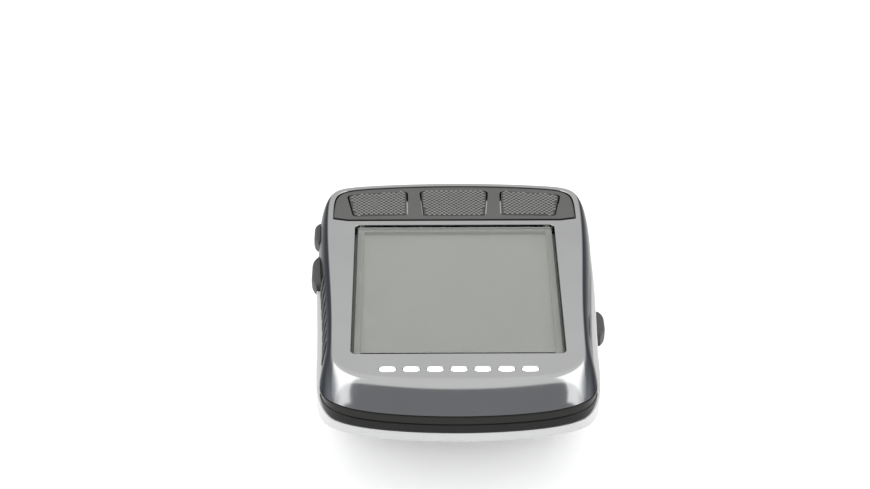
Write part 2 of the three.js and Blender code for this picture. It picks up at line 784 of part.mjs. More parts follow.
function screw(x, y, headFrom, headTo, headRadius, shankTo, radius) {
  const [h0, h1] = [Math.min(headFrom, headTo), Math.max(headFrom, headTo)];
  const [s0, s1] = [Math.min(headTo, shankTo), Math.max(headTo, shankTo)];
  const socket = new THREE.CylinderGeometry(radius * 0.7, radius * 0.7, 0.8, 6).rotateX(Math.PI / 2);
  return rod(headRadius, x, y, h0, h1, 14)
    .add(rod(radius, x, y, s0, s1, 10))
    .subtract(solid(socket.translate(x, y, headFrom)));
}

let count = 0;
for (const x of frameScrewX) {
  for (const y of earY) {
    count += 1;
    const body = screw(x, y, frameBottom - 0.5, frameBottom, 0.9, ceilingZ - 0.9, smallScrewRadius);
    piece("frame_screw_" + count, body, "steel");
  }
}

// ---- Status lights: a board with one chip for each lens of a single moulded light pipe ----

const ledBoardTop = frameTop + 0.8;
const chipTop = ledBoardTop + 0.8;
const pipeBottom = chipTop + gap;
const pipeHalf = (ledPitch * (ledCount - 1)) / 2 + ledLensWidth / 2 + 0.3;
const pipeBar = box(-pipeHalf, pipeHalf, ledY - 1.3, ledY + 1.3, pipeBottom, ceilingZ - gap);
const lenses = union(leds.map((i) => ledSlot(i, 0, ceilingZ - 1, topZ - 0.1)));
piece("light_pipe", pipeBar.add(lenses), "clearPlastic");
piece("led_board", plate(-14, 14, ledY - 1.8, ledY + 1.8, frameTop, ledBoardTop, 0.4), "board");
for (const i of leds) {
  const x = (i - (ledCount - 1) / 2) * ledPitch;
  const chip = box(x - 0.8, x + 0.8, ledY - 0.6, ledY + 0.6, ledBoardTop, chipTop);
  piece("led_" + (i + 1), chip, "clearPlastic");
}

// ---- Main board and what is soldered to it ----

const boardCuts = union([
  ...screwPosts.map(([x, y]) => rod(bossRadius + gap, x, y, boardBottom - 1, boardTop + 1)),
  ...boardBosses.map(([x, y]) => rod(smallScrewRadius + gap, x, y, boardBottom - 1, boardTop + 1, 10)),
]);
const board = plate(-boardHalfWidth, boardHalfWidth, boardNoseY, boardRearY, boardBottom, boardTop, 6);
piece("main_board", board.intersect(insideLower).subtract(boardCuts), "board");

boardBosses.forEach(([x, y], i) => {
  const body = screw(x, y, boardTop + 0.6, boardTop, 1.1, boardBottom - 2, smallScrewRadius);
  piece("board_screw_" + (i + 1), body, "steel");
});

const antennaTop = frameBottom - gap - 0.1;
piece("satellite_antenna", plate(-6, 6, -26.5, -14.5, boardTop, antennaTop, 0.6), "ceramic");
piece("shield_can", plate(-3, 13, -10, 6, boardTop, boardTop + 1.8, 0.6), "foil");
piece("buzzer", rod(4.5, -10, 12, boardTop, boardTop + 2.2, 24), "blackPlastic");
piece("vent_membrane", rod(1.8, ...vent, innerFloorZ, innerFloorZ + 0.3, 16), "clearPlastic");

// Charging port: a steel shell with a contact tongue, open towards the rear.
const portMouthY = coverInnerY - 1.7;
const portDepth = 7.1;
const [portTop, portFloor] = [boardBottom, boardBottom - portHeight];
const portSheet = 0.3;
const portInside = portWidth / 2 - portSheet;
const portHollow = box(
  -portInside,
  portInside,
  portMouthY - portDepth + 1.7,
  portMouthY + 1,
  portFloor + portSheet,
  portTop - portSheet,
);
const portTongue = box(-3.3, 3.3, portMouthY - portDepth + 1.5, portMouthY - 0.9, portZ - 0.35, portZ + 0.35);
const portShell = box(-portWidth / 2, portWidth / 2, portMouthY - portDepth, portMouthY, portFloor, portTop);
piece("charging_port", portShell.subtract(portHollow).add(portTongue), "steel");

const coverPlate = box(-coverWidth / 2, coverWidth / 2, coverInnerY, coverOuterY, coverBottomZ, coverTopZ);
const plugHalf = portWidth / 2;
const coverPlug = box(-plugHalf, plugHalf, coverInnerY - 1.4, coverInnerY + 0.1, plugBottomZ, plugTopZ);
piece("port_cover", coverPlate.intersect(lowerOuter).add(coverPlug), "greyRubber");

// Flat cable from the display panel down to its connector on the board.
const flexThick = 0.2;
const flexStartY = panelRearY + gap;
const flexConnectorTop = boardTop + 1.1;
const flexCurve = new THREE.CatmullRomCurve3([
  new THREE.Vector3(0, flexStartY, panelBottom + 0.2),
  new THREE.Vector3(0, flexStartY + 0.7, panelBottom - 0.2),
  new THREE.Vector3(0, flexStartY + 1, panelBottom - 1.4),
  new THREE.Vector3(0, flexStartY + 0.9, flexConnectorTop + 1.2),
  new THREE.Vector3(0, flexStartY + 0.4, flexConnectorTop + gap),
]);
const flexPoints = flexCurve.getPoints(12);
const flexOutline = [
  ...flexPoints.map((p) => [p.y, p.z]),
  ...flexPoints.reverse().map((p) => [p.y - flexThick, p.z - flexThick / 2]),
];
piece("display_flex", sidePrism(flexOutline.reverse(), -6, 6), "amberFilm");
const flexConnector = box(-7, 7, flexStartY - 0.6, flexStartY + 1.2, boardTop, flexConnectorTop);
piece("flex_connector", flexConnector, "whitePlastic");

// ---- Battery, its pad, lead and connector ----

const batterySides = [-batteryWidth / 2, batteryWidth / 2, batteryNoseY, batteryRearY];
piece("battery", plate(...batterySides, batteryBottom, batteryTop, 1.5), "foil");
const padSides = [2 - batteryWidth / 2, batteryWidth / 2 - 2, batteryNoseY + 2, batteryRearY - 2];
piece("battery_pad", plate(...padSides, innerFloorZ, batteryBottom, 1), "foam");

const leadX = -7;
const leadRadius = 0.6;
const plugBlock = { y: batteryRearY + 4, depth: 2.5, height: 2.2 };
const leadEndZ = boardBottom - plugBlock.height / 2;
const leadPath = new THREE.CatmullRomCurve3([
  new THREE.Vector3(leadX, batteryRearY + gap, batteryTop - 1.5),
  new THREE.Vector3(leadX, batteryRearY + 1.4, batteryTop - 1.3),
  new THREE.Vector3(leadX, plugBlock.y - 1.6, leadEndZ - 0.2),
  new THREE.Vector3(leadX, plugBlock.y - gap, leadEndZ),
]);
const leadSection = new THREE.Shape();
leadSection.absarc(0, 0, leadRadius, 0, 2 * Math.PI);
const leadSteps = { steps: 10, curveSegments: 4, extrudePath: leadPath };
const leadTube = new THREE.ExtrudeGeometry(leadSection, leadSteps);
piece("battery_lead", solid(leadTube), "blackPlastic");
const plugSides = [leadX - 2, leadX + 2, plugBlock.y, plugBlock.y + plugBlock.depth];
piece("battery_connector", box(...plugSides, boardBottom - plugBlock.height, boardBottom), "whitePlastic");

// ---- Quarter-turn fitting and the screws that close the case ----

function earSector(centreAngle) {
  const shape = new THREE.Shape();
  shape.moveTo(0, 0);
  shape.absarc(0, 0, earRadius, centreAngle - earHalfAngle, centreAngle + earHalfAngle);
  shape.lineTo(0, 0);
  return slab(shape, 0, earThick);
}
const mountHeadSeat = 1.6;
const quarterTurn = rod(neckRadius, 0, 0, 0, floorZ, 40)
  .add(earSector(0))
  .add(earSector(Math.PI))
  .subtract(union(mountScrews.map(([x, y]) => rod(1.8, x, y, -1, mountHeadSeat, 16))))
  .subtract(union(mountScrews.map(([x, y]) => rod(0.9, x, y, 0, floorZ + 1, 12))));
piece("quarter_turn_mount", quarterTurn, "blackPlastic");
mountScrews.forEach(([x, y], i) => {
  piece("mount_screw_" + (i + 1), screw(x, y, 0.4, mountHeadSeat, 1.5, floorZ + 1, 0.6), "steel");
});
screwPosts.forEach(([x, y], i) => {
  const body = screw(x, y, headSeat(y) - 1.5, headSeat(y), caseHeadRadius, postTop - 1, caseScrewRadius);
  piece("case_screw_" + (i + 1), body, "steel");
});

export default computer;
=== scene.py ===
import math

import bmesh
import bpy
from mathutils import Matrix, Vector


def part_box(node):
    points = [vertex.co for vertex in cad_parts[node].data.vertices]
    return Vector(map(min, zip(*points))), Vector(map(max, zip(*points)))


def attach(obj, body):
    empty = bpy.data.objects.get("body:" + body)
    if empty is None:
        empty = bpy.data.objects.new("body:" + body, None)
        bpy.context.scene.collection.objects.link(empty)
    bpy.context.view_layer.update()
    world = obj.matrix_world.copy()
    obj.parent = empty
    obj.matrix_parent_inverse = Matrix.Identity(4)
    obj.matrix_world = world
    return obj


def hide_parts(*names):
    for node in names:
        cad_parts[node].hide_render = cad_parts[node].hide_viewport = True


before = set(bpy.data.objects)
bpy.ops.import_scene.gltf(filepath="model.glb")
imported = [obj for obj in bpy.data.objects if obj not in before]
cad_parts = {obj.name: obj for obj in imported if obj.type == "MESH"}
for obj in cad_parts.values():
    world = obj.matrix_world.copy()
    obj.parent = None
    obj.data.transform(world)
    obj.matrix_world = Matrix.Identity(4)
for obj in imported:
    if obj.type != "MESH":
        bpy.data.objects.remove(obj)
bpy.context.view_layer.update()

# ---- Camera, floor and light ---------------------------------------------------------------------
# The unit lies on a pale table, seen from in front of its nose and a little above. The lens is
# long, so the sides of the body stay nearly parallel.

MM = 0.001
CAMERA_PLACE = Vector((-6.8, -425.9, 246.8)) * MM
CAMERA_PITCH = math.radians(-27.08)
CAMERA_YAW = -0.0076
LENS_MM = 119.6

camera_data = bpy.data.cameras.new("camera")
camera_data.lens = LENS_MM
camera_data.sensor_width = 36
camera_data.clip_start = 0.01
camera = bpy.data.objects.new("camera", camera_data)
camera.location = CAMERA_PLACE
camera.rotation_euler = (math.pi / 2 + CAMERA_PITCH, 0, CAMERA_YAW)
bpy.context.scene.collection.objects.link(camera)
bpy.context.scene.camera = camera
bpy.context.scene.view_settings.view_transform = "Standard"


def new_material(name):
    """A new material and its Principled shader."""
    material = bpy.data.materials.new(name)
    material.use_nodes = True
    return material, material.node_tree.nodes["Principled BSDF"]


def add_node(tree, kind, settings=None, **inputs):
    """A shader node with its settings and inputs filled in. An input is a value or a socket."""
    node = tree.nodes.new(kind)
    for key, value in (settings or {}).items():
        setattr(node, key, value)
    for key, value in inputs.items():
        numbered = key[0] == "i" and key[1:].isdigit()
        socket = node.inputs[int(key[1:]) if numbered else key.replace("_", " ")]
        if isinstance(value, bpy.types.NodeSocket):
            tree.links.new(value, socket)
        else:
            socket.default_value = value
    return node


def calculate(tree, operation, *values, **settings):
    """The result of a Math node."""
    inputs = {f"i{i}": value for i, value in enumerate(values)}
    return add_node(tree, "ShaderNodeMath", {"operation": operation, **settings}, **inputs).outputs[0]


def map_range(tree, value, low, high, to_low=0.0, to_high=1.0, **settings):
    """A value spread from one range to another, and held at its ends."""
    return add_node(tree, "ShaderNodeMapRange", settings, Value=value, From_Min=low, From_Max=high,
                    To_Min=to_low, To_Max=to_high).outputs["Result"]


def blend_colors(tree, mask, first, second):
    """The first colour where the mask is 0 and the second where it is 1."""
    return add_node(tree, "ShaderNodeMix", {"data_type": "RGBA"}, i0=mask, i6=first, i7=second).outputs[2]


def soft_box(name, place, aim, size, radiance, upright=(0, 0, 1), glossy=True):
    """A rectangular studio light whose face shines at one radiance. Its long side follows upright."""
    data = bpy.data.lights.new(name, "AREA")
    data.shape = "RECTANGLE"
    data.size, data.size_y = size
    data.energy = radiance * math.pi * size[0] * size[1]
    light = bpy.data.objects.new(name, data)
    back = (Vector(place) - Vector(aim)).normalized()
    right = Vector(upright).cross(back).normalized()
    turn = Matrix((right, back.cross(right), back)).transposed().to_4x4()
    light.matrix_world = Matrix.Translation(place) @ turn
    light.visible_glossy = glossy
    light.visible_camera = False
    bpy.context.scene.collection.objects.link(light)


# Two soft boxes lean back beside the unit, so that their front edges draw a clean line on the nose.
CENTRE = (0, 0, 0.012)
SIDE_BOX = (0.82, 1.3)
SIDE_BOX_RADIANCE = 1.12
soft_box("ceiling_light", (0, 0.42, 0.95), (0, 0.1, 0), (1.5, 0.9), 0.5, upright=(0, 1, 0), glossy=False)
for name, side in (("left_light", -1), ("right_light", 1)):
    soft_box(name, (0.776 * side, -0.06, 0.36), (0.146 * side, -0.2, -0.12), SIDE_BOX, SIDE_BOX_RADIANCE,
             upright=(-0.53 * side, 0.72, 0.44))
soft_box("fill_light", (0, -0.5, 1.0), CENTRE, (1.4, 1.0), 0.42, upright=(0, 1, 0), glossy=False)

# In reflections, the world is a bright cyclorama behind and over the object and a grey room in
# front of it. It lights plain surfaces evenly from all sides, and is white to the camera.
WORLD_FILL = 0.52
CYCLORAMA_LEVEL = 0.98
ROOM_LEVEL = 0.275
ROOM_TINT = (0.97, 0.99, 1.04, 1)
CYCLORAMA_TINT = (1.0, 0.998, 0.99, 1)
world = bpy.data.worlds.new("studio")
bpy.context.scene.world = world
world.use_nodes = True
sky = world.node_tree
background = sky.nodes["Background"]
direction = add_node(sky, "ShaderNodeTexCoord").outputs["Generated"]
split = add_node(sky, "ShaderNodeSeparateXYZ", Vector=direction)
behind = map_range(sky, split.outputs["Y"], -0.21, -0.1, interpolation_type="SMOOTHSTEP")
level = map_range(sky, behind, 0.0, 1.0, ROOM_LEVEL, CYCLORAMA_LEVEL)
sky_path = add_node(sky, "ShaderNodeLightPath")
to_camera = sky_path.outputs["Is Camera Ray"]
mirrored = calculate(sky, "MAXIMUM", sky_path.outputs["Is Glossy Ray"],
                     sky_path.outputs["Is Transmission Ray"])
indirect = add_node(sky, "ShaderNodeMix", {"data_type": "FLOAT"}, i0=mirrored, i2=WORLD_FILL, i3=level)
sky.links.new(calculate(sky, "MAXIMUM", indirect.outputs[0], to_camera), background.inputs["Strength"])
tint = blend_colors(sky, calculate(sky, "MAXIMUM", behind, to_camera), ROOM_TINT, CYCLORAMA_TINT)
sky.links.new(tint, background.inputs["Color"])

# The floor is white to the camera and in reflections, and keeps the object's shadow.
FLOOR_HALF = 3.0
floor_mesh = bpy.data.meshes.new("floor")
floor_corners = [(x * FLOOR_HALF, y * FLOOR_HALF, 0) for x, y in ((-1, -1), (1, -1), (1, 1), (-1, 1))]
floor_mesh.from_pydata(floor_corners, [], [(0, 1, 2, 3)])
floor = bpy.data.objects.new("floor", floor_mesh)
floor.location.z = -0.0002
bpy.context.scene.collection.objects.link(floor)
floor_paint, floor_shader = new_material("table_white")
floor_mesh.materials.append(floor_paint)
floor_shader.inputs["Base Color"].default_value = (0.86, 0.86, 0.86, 1)
floor_shader.inputs["Roughness"].default_value = 0.8
floor_shader.inputs["Specular IOR Level"].default_value = 0.0
floor_tree = floor_paint.node_tree
light_path = add_node(floor_tree, "ShaderNodeLightPath")
FLOOR_LIFT = 0.36
FLOOR_LIFT_MIRRORED = 0.22
mirror_lift = calculate(floor_tree, "MULTIPLY", light_path.outputs["Is Glossy Ray"], FLOOR_LIFT_MIRRORED)
lift = calculate(floor_tree, "MULTIPLY_ADD", light_path.outputs["Is Camera Ray"], FLOOR_LIFT, mirror_lift)
floor_tree.links.new(lift, floor_shader.inputs["Emission Strength"])
floor_shader.inputs["Emission Color"].default_value = (1, 1, 1, 1)


# ---- Shared surface effects: moulded skin and handling marks -------------------------------------
# Moulded and painted parts are never one even tone: the tone drifts a little, a fine grain
# from the tool breaks the gloss, and handling leaves faint rubbed patches.

def new_group(name, inputs, outputs):
    """An empty shader node group with named sockets, and its input and output nodes."""
    group = bpy.data.node_groups.new(name, "ShaderNodeTree")
    for socket, kind in inputs:
        group.interface.new_socket(socket, in_out="INPUT", socket_type="NodeSocket" + kind)
    for socket, kind in outputs:
        group.interface.new_socket(socket, in_out="OUTPUT", socket_type="NodeSocket" + kind)
    return group, group.nodes.new("NodeGroupInput"), group.nodes.new("NodeGroupOutput")


def object_place(tree):
    """Coordinates that stay with the piece, in metres."""
    return add_node(tree, "ShaderNodeTexCoord").outputs["Object"]


moulded_skin, skin_in, skin_out = new_group(
    "moulded_skin",
    [("Color", "Color"), ("Drift", "Float"), ("Grain per mm", "Float"), ("Roughness", "Float"),
     ("Rubbing", "Float")],
    [("Color", "Color"), ("Roughness", "Float"), ("Height", "Float")],
)
skin_place = object_place(moulded_skin)
grain_scale = calculate(moulded_skin, "MULTIPLY", skin_in.outputs["Grain per mm"], 1 / MM)
grain = add_node(moulded_skin, "ShaderNodeTexNoise", Vector=skin_place, Scale=grain_scale, Detail=3.0)
clouds = add_node(moulded_skin, "ShaderNodeTexNoise", Vector=skin_place, Scale=90.0, Detail=4.0)
marks = add_node(moulded_skin, "ShaderNodeTexNoise", Vector=skin_place, Scale=260.0, Detail=6.0,
                 Distortion=0.8)
tone_low = calculate(moulded_skin, "SUBTRACT", 1.0, skin_in.outputs["Drift"])
tone_high = calculate(moulded_skin, "ADD", 1.0, skin_in.outputs["Drift"])
tone = map_range(moulded_skin, clouds.outputs["Fac"], 0.3, 0.7, tone_low, tone_high)
toned = add_node(moulded_skin, "ShaderNodeVectorMath", {"operation": "SCALE"}, i0=skin_in.outputs["Color"],
                 Scale=tone)
moulded_skin.links.new(toned.outputs[0], skin_out.inputs["Color"])
rubbed = map_range(moulded_skin, marks.outputs["Fac"], 0.5, 0.72)
rubbing_amount = calculate(moulded_skin, "MULTIPLY", rubbed, skin_in.outputs["Rubbing"])
roughened = calculate(moulded_skin, "ADD", skin_in.outputs["Roughness"], rubbing_amount, use_clamp=True)
moulded_skin.links.new(roughened, skin_out.inputs["Roughness"])
moulded_skin.links.new(grain.outputs["Fac"], skin_out.inputs["Height"])


def wear_skin(material, skin, relief_mm):
    """Feeds a group's colour, roughness and fine relief to a material's shader."""
    tree = material.node_tree
    shader = tree.nodes["Principled BSDF"]
    bump = add_node(tree, "ShaderNodeBump", Height=skin.outputs["Height"], Distance=relief_mm * MM,
                    Strength=1.0)
    tree.links.new(skin.outputs["Color"], shader.inputs["Base Color"])
    tree.links.new(skin.outputs["Roughness"], shader.inputs["Roughness"])
    tree.links.new(bump.outputs["Normal"], shader.inputs["Normal"])


def finish_material(name, color, roughness, drift=0.03, grain_per_mm=6.0, bump_mm=0.004, rubbing=0.08,
                    **sockets):
    """A material whose colour, roughness and fine relief come from the moulded skin."""
    material, shader = new_material(name)
    tree = material.node_tree
    skin = add_node(tree, "ShaderNodeGroup", {"node_tree": moulded_skin}, Color=(*color, 1), Drift=drift,
                    Grain_per_mm=grain_per_mm, Roughness=roughness, Rubbing=rubbing)
    wear_skin(material, skin, bump_mm)
    for socket, value in sockets.items():
        shader.inputs[socket.replace("_", " ")].default_value = value
    return material


# ---- Top housing ---------------------------------------------------------------------------------
# One injection moulding in dark metallic paint under clear lacquer. The face around the display
# is flat; the sides fall away steeply and the nose rolls down in a long curve.

TOP_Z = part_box("display_window")[1][2] / MM + 0.2
SEAM_Z = 17.0
WALL = 1.5
GAP = 0.3
WAIST_Y = -19.3
FACE_PLAN = dict(rear=37.3, nose=32.5, half=21.9, waist=20.3, flare=0.0, start=27.0, rear_bow=1.9,
                 nose_bow=1.9)
SEAM_PLAN = dict(rear=37.5, nose=37.4, half=23.7, waist=22.0, flare=0.45, start=27.0, rear_bow=2.2,
                 nose_bow=3.7)
CORNER_POWER = 14
NOSE_POWER = 7
FLARE_LENGTH = 7


def mix(a, b, t):
    """A plan part of the way from one to another."""
    return {key: a[key] + (b[key] - a[key]) * t for key in a}


def inset(plan, d):
    """A plan moved inwards by d on every side."""
    return {**plan, **{key: plan[key] - d for key in ("rear", "nose", "half", "waist")}}


def smooth(t):
    t = min(max(t, 0.0), 1.0)
    return t * t * (3 - 2 * t)


def outline(plan, per_quadrant=48):
    """Points round one horizontal section of the body: bowed superellipse ends and tapering sides."""
    points = []
    for i in range(4 * per_quadrant):
        quadrant, k = divmod(i, per_quadrant)
        u = -1 + 2 * k / per_quadrant
        angle = (quadrant + 0.5 + 0.5 * (0.4 * u + 0.6 * u**3)) * math.pi / 2
        c, s = math.cos(angle), math.sin(angle)
        power = CORNER_POWER if s > 0 else NOSE_POWER
        reach = (abs(c) ** power + abs(s) ** power) ** (-1 / power)
        across, along = reach * c, reach * s
        bow = (plan["rear_bow"] if s > 0 else -plan["nose_bow"]) * across**2 * abs(along) ** 6
        y = along * (plan["rear"] if s > 0 else plan["nose"]) - bow
        taper = (plan["half"] - plan["waist"]) * smooth((plan["start"] - y) / (plan["start"] - WAIST_Y))
        flare = plan["flare"] * smooth((WAIST_Y - y) / FLARE_LENGTH)
        points.append((across * (plan["half"] - taper + flare), y))
    return points


def stack_group(name, stacks):
    """One mesh of closed stacks. Each runs through loops of points in millimetres, bottom loop first."""
    verts, faces = [], []
    for rings in stacks:
        start, count = len(verts), len(rings[0])
        verts += [Vector(p) * MM for ring in rings for p in ring]
        last = start + (len(rings) - 1) * count
        faces += [tuple(reversed(range(start, start + count))), tuple(range(last, last + count))]
        for r in range(len(rings) - 1):
            for i in range(count):
                a, b = start + r * count + i, start + r * count + (i + 1) % count
                faces.append((a, b, b + count, a + count))
    mesh = bpy.data.meshes.new(name)
    mesh.from_pydata(verts, [], faces)
    thing = bpy.data.objects.new(name, mesh)
    bpy.context.scene.collection.objects.link(thing)
    return thing


def stack(name, rings):
    return stack_group(name, [rings])


def at_height(loop, z):
    return [(x, y, z) for x, y in loop]


def rounded(points, radius, steps=6):
    """A convex polygon, anticlockwise, with its corners rounded."""
    loop = []
    for i, (x, y) in enumerate(points):
        p = Vector((x, y))
        back = (Vector(points[i - 1]) - p).normalized()
        ahead = (Vector(points[(i + 1) % len(points)]) - p).normalized()
        half = back.angle(ahead) / 2
        centre = p + (back + ahead).normalized() * radius / math.sin(half)
        start = p + back * radius / math.tan(half) - centre
        turn = math.pi - 2 * half
        for k in range(steps + 1):
            a = turn * k / steps
            loop.append((centre.x + start.x * math.cos(a) - start.y * math.sin(a),
                         centre.y + start.x * math.sin(a) + start.y * math.cos(a)))
    return loop


def offset(loop, d):
    """A loop, anticlockwise, moved outwards by d, corner by corner."""
    moved = []
    for i, p in enumerate(loop):
        before, here, after = Vector(loop[i - 1]), Vector(p), Vector(loop[(i + 1) % len(loop)])
        n1, n2 = (here - before).normalized(), (after - here).normalized()
        n1, n2 = Vector((n1.y, -n1.x)), Vector((n2.y, -n2.x))
        middle = (n1 + n2).normalized()
        moved.append(tuple(here + middle * d / max(middle.dot(n1), 0.5)))
    return moved


def flared_cutter(name, loop, z0, mouth_z, edge, steps=5):
    """A cutter for an opening whose mouth has a rounded edge."""
    rings = [at_height(loop, z0)]
    for k in range(steps + 1):
        a = k / steps * math.pi / 2
        rings.append(at_height(offset(loop, edge * (1 - math.cos(a))), mouth_z - edge + edge * math.sin(a)))
    rings.append(at_height(offset(loop, edge), mouth_z + 2))
    return stack(name, rings)


def joined(parts):
    """Several mesh objects made into one."""
    first = parts[0]
    work = bmesh.new()
    for part in parts:
        part.data.transform(part.matrix_basis)
        work.from_mesh(part.data)
    work.to_mesh(first.data)
    work.free()
    first.matrix_basis = Matrix()
    for part in parts[1:]:
        bpy.data.objects.remove(part)
    return first


def combine(base, tools, operation="DIFFERENCE"):
    """Cuts tools out of base, or adds them to it, and removes the tools."""
    tool = joined(tools)
    modifier = base.modifiers.new("cut", "BOOLEAN")
    modifier.operation = operation
    modifier.solver = "EXACT"
    modifier.object = tool
    evaluated = base.evaluated_get(bpy.context.evaluated_depsgraph_get())
    result = bpy.data.meshes.new_from_object(evaluated)
    base.modifiers.clear()
    base.data = result
    bpy.data.objects.remove(tool)
    return base


def dress(piece, body, material, replaces=(), sharp=32):
    """Shades a piece, gives it its material and ties it to the frame."""
    mesh = piece.data
    mesh.materials.clear()
    mesh.materials.append(material)
    for polygon in mesh.polygons:
        polygon.material_index = 0
        polygon.use_smooth = True
    mesh.set_sharp_from_angle(angle=math.radians(sharp))
    modifier = piece.modifiers.new("even_shading", "WEIGHTED_NORMAL")
    modifier.keep_sharp = True
    modifier.mode = "FACE_AREA_WITH_ANGLE"
    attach(piece, body)
    if replaces:
        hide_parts(*replaces)
    return piece


ROLL_START = math.radians(8)
ROLL_END = math.radians(66)


def top_rings(d=0.0, steps=26, per_quadrant=48):
    """The top housing's sections from the seam up to its face, moved inwards by d."""
    rings = []
    for k in range(steps + 1):
        roll = ROLL_END + (ROLL_START - ROLL_END) * (1 - (1 - k / steps) ** 1.4)
        run = (math.sin(roll) - math.sin(ROLL_START)) / (math.sin(ROLL_END) - math.sin(ROLL_START))
        fall = (math.cos(ROLL_START) - math.cos(roll)) / (math.cos(ROLL_START) - math.cos(ROLL_END))
        z = TOP_Z - d - (TOP_Z - d - SEAM_Z) * fall
        rings.append(at_height(outline(inset(mix(FACE_PLAN, SEAM_PLAN, run), d), per_quadrant), z))
    return rings


def rectangle(x0, x1, y0, y1):
    return [(x0, y0), (x1, y0), (x1, y1), (x0, y1)]


def box_mm(name):
    """The two corners of a frame node's box, in millimetres."""
    return tuple(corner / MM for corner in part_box(name))


# Openings in the face: the display window, the keypad recess and the row of light slots.
window_low, window_high = box_mm("display_window")
OPENING_MARGIN = 0.4
window_loop = rounded(rectangle(window_low.x, window_high.x, window_low.y, window_high.y), 0.6)
opening_loop = offset(window_loop, OPENING_MARGIN)
KEYPAD_START = 23.0
KEYPAD_RIM = 0.8
KEYPAD_CLIP = 0.7
SHELF_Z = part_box("keypad_strip")[0][2] / MM
SKIN_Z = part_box("keypad_strip")[1][2] / MM


def keypad_loop(rim):
    """The keypad's outline: the end of the face's outline, closed by a front edge with clipped ends."""
    start = KEYPAD_START - (KEYPAD_RIM + GAP - rim)
    rear = [(x, y) for x, y in outline(inset(FACE_PLAN, rim)) if y > start + KEYPAD_CLIP + 0.4]
    first = max(range(len(rear)), key=lambda i: (rear[i][0] > 0, -rear[i][1]))
    rear = rear[first:] + rear[:first]
    side = rear[0][0]
    front = [(-side, start + KEYPAD_CLIP), (-side + 2.6, start), (side - 2.6, start),
             (side, start + KEYPAD_CLIP)]
    return rear + front


LED_COUNT = 7
LED_PITCH = 3.76
LED_Y = -29.4


def led_loop(i, margin=0.0):
    x = (i - (LED_COUNT - 1) / 2) * LED_PITCH
    half_width, half_length = 1.3 + margin, 0.8 + margin
    slot = rectangle(x - half_width, x + half_width, LED_Y - half_length, LED_Y + half_length)
    return rounded(slot, half_length - 0.02, 8)


LEFT_KEY = [(-17.4, 24.8), (-8.3, 25.3), (-8.4, 34.7), (-18.6, 33.1)]
CENTER_KEY = [(-5.25, 25.0), (5.25, 25.0), (5.8, 34.75), (-5.8, 34.75)]
RIGHT_KEY = [(-x, y) for x, y in reversed(LEFT_KEY)]
KEYS = {"key_left": LEFT_KEY, "key_center": CENTER_KEY, "key_right": RIGHT_KEY}
KEY_CORNER = 0.9

SIDE_BUTTONS = {
    "side_button_rear": dict(side=-1, y=(22.2, 30.5), z=(15.6, 18.0), slant=0.8, taper=2.2),
    "side_button_front": dict(side=-1, y=(6.4, 17.6), z=(15.6, 18.0), slant=0.8, taper=3.0),
    "power_button": dict(side=1, y=(-7.5, 1.2), z=(13.2, 16.0), slant=0.9, taper=2.6),
}


def button_loop(button):
    """A side button seen along X, as (y, z) points, anticlockwise."""
    (y0, y1), (z0, z1), slant = button["y"], button["z"], button["slant"]
    return [(y0 + slant, z0), (y1 - slant, z0), (y1, z1), (y0, z1)]


def turned_to_side(thing):
    """Turns a stack built on (y, z, x) into place."""
    thing.data.transform(Matrix(((0, 0, 1, 0), (1, 0, 0, 0), (0, 1, 0, 0), (0, 0, 0, 1))))
    return thing


def button_cutter(button):
    loop = rounded(button_loop(button), 0.6)
    loop = offset(loop, GAP * 0.7)
    x0, x1 = (-30, -19) if button["side"] < 0 else (19, 30)
    return turned_to_side(stack("button_cutter", [at_height(loop, x0), at_height(loop, x1)]))


BAND_LOW_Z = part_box("nose_band")[0][2] / MM
BAND_HIGH_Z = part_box("nose_band")[1][2] / MM
BAND_LEVEL_Y = -33.0
BAND_TAIL_Y = -26.0


def band_wedge(d):
    """The space of the nose band: level across the nose, tapering to the seam at its two tails."""
    low, high = BAND_LOW_Z - d, BAND_HIGH_Z + d
    tail = BAND_TAIL_Y + 9 * d
    side = [(-60, low), (BAND_LEVEL_Y, low), (tail, SEAM_Z), (BAND_LEVEL_Y, high), (-60, high)]
    return turned_to_side(stack("wedge", [at_height(side, x) for x in (-40, 40)]))


def band_space(d):
    """The band's space outside the inner side of the case walls."""
    inner = outline(inset(SEAM_PLAN, WALL), 32)
    wedge = band_wedge(d)
    core = stack("core", [at_height(inner, z) for z in (BAND_LOW_Z - 1, BAND_HIGH_Z + 1)])
    return combine(wedge, [core])


def paint_over(material, mask, color):
    """Covers a material's base colour with another colour where the mask is 1."""
    tree = material.node_tree
    base = tree.nodes["Principled BSDF"].inputs["Base Color"]
    tree.links.new(blend_colors(tree, mask, base.links[0].from_socket, (*color, 1)), base)


PAINT_FACE = (0.505, 0.512, 0.512)
PAINT_SIDE_SHADE = (0.128, 0.134, 0.143)
paint = finish_material("case_paint", PAINT_FACE, 0.13, drift=0.02, grain_per_mm=9.0, bump_mm=0.0006,
                        rubbing=0.05, Metallic=1.0, Specular_Tint=(0.30, 0.30, 0.305, 1))
# Painted shade: the steep sides take a much darker paint than the face, for the dark look that the light
# gives them there.
tree = paint.node_tree
surface_normal = add_node(tree, "ShaderNodeNewGeometry").outputs["Normal"]
facing = add_node(tree, "ShaderNodeSeparateXYZ", Vector=surface_normal)
sideways = calculate(tree, "ABSOLUTE", facing.outputs["X"])
paint_over(paint, map_range(tree, sideways, 0.5, 0.72, interpolation_type="SMOOTHSTEP"), PAINT_SIDE_SHADE)

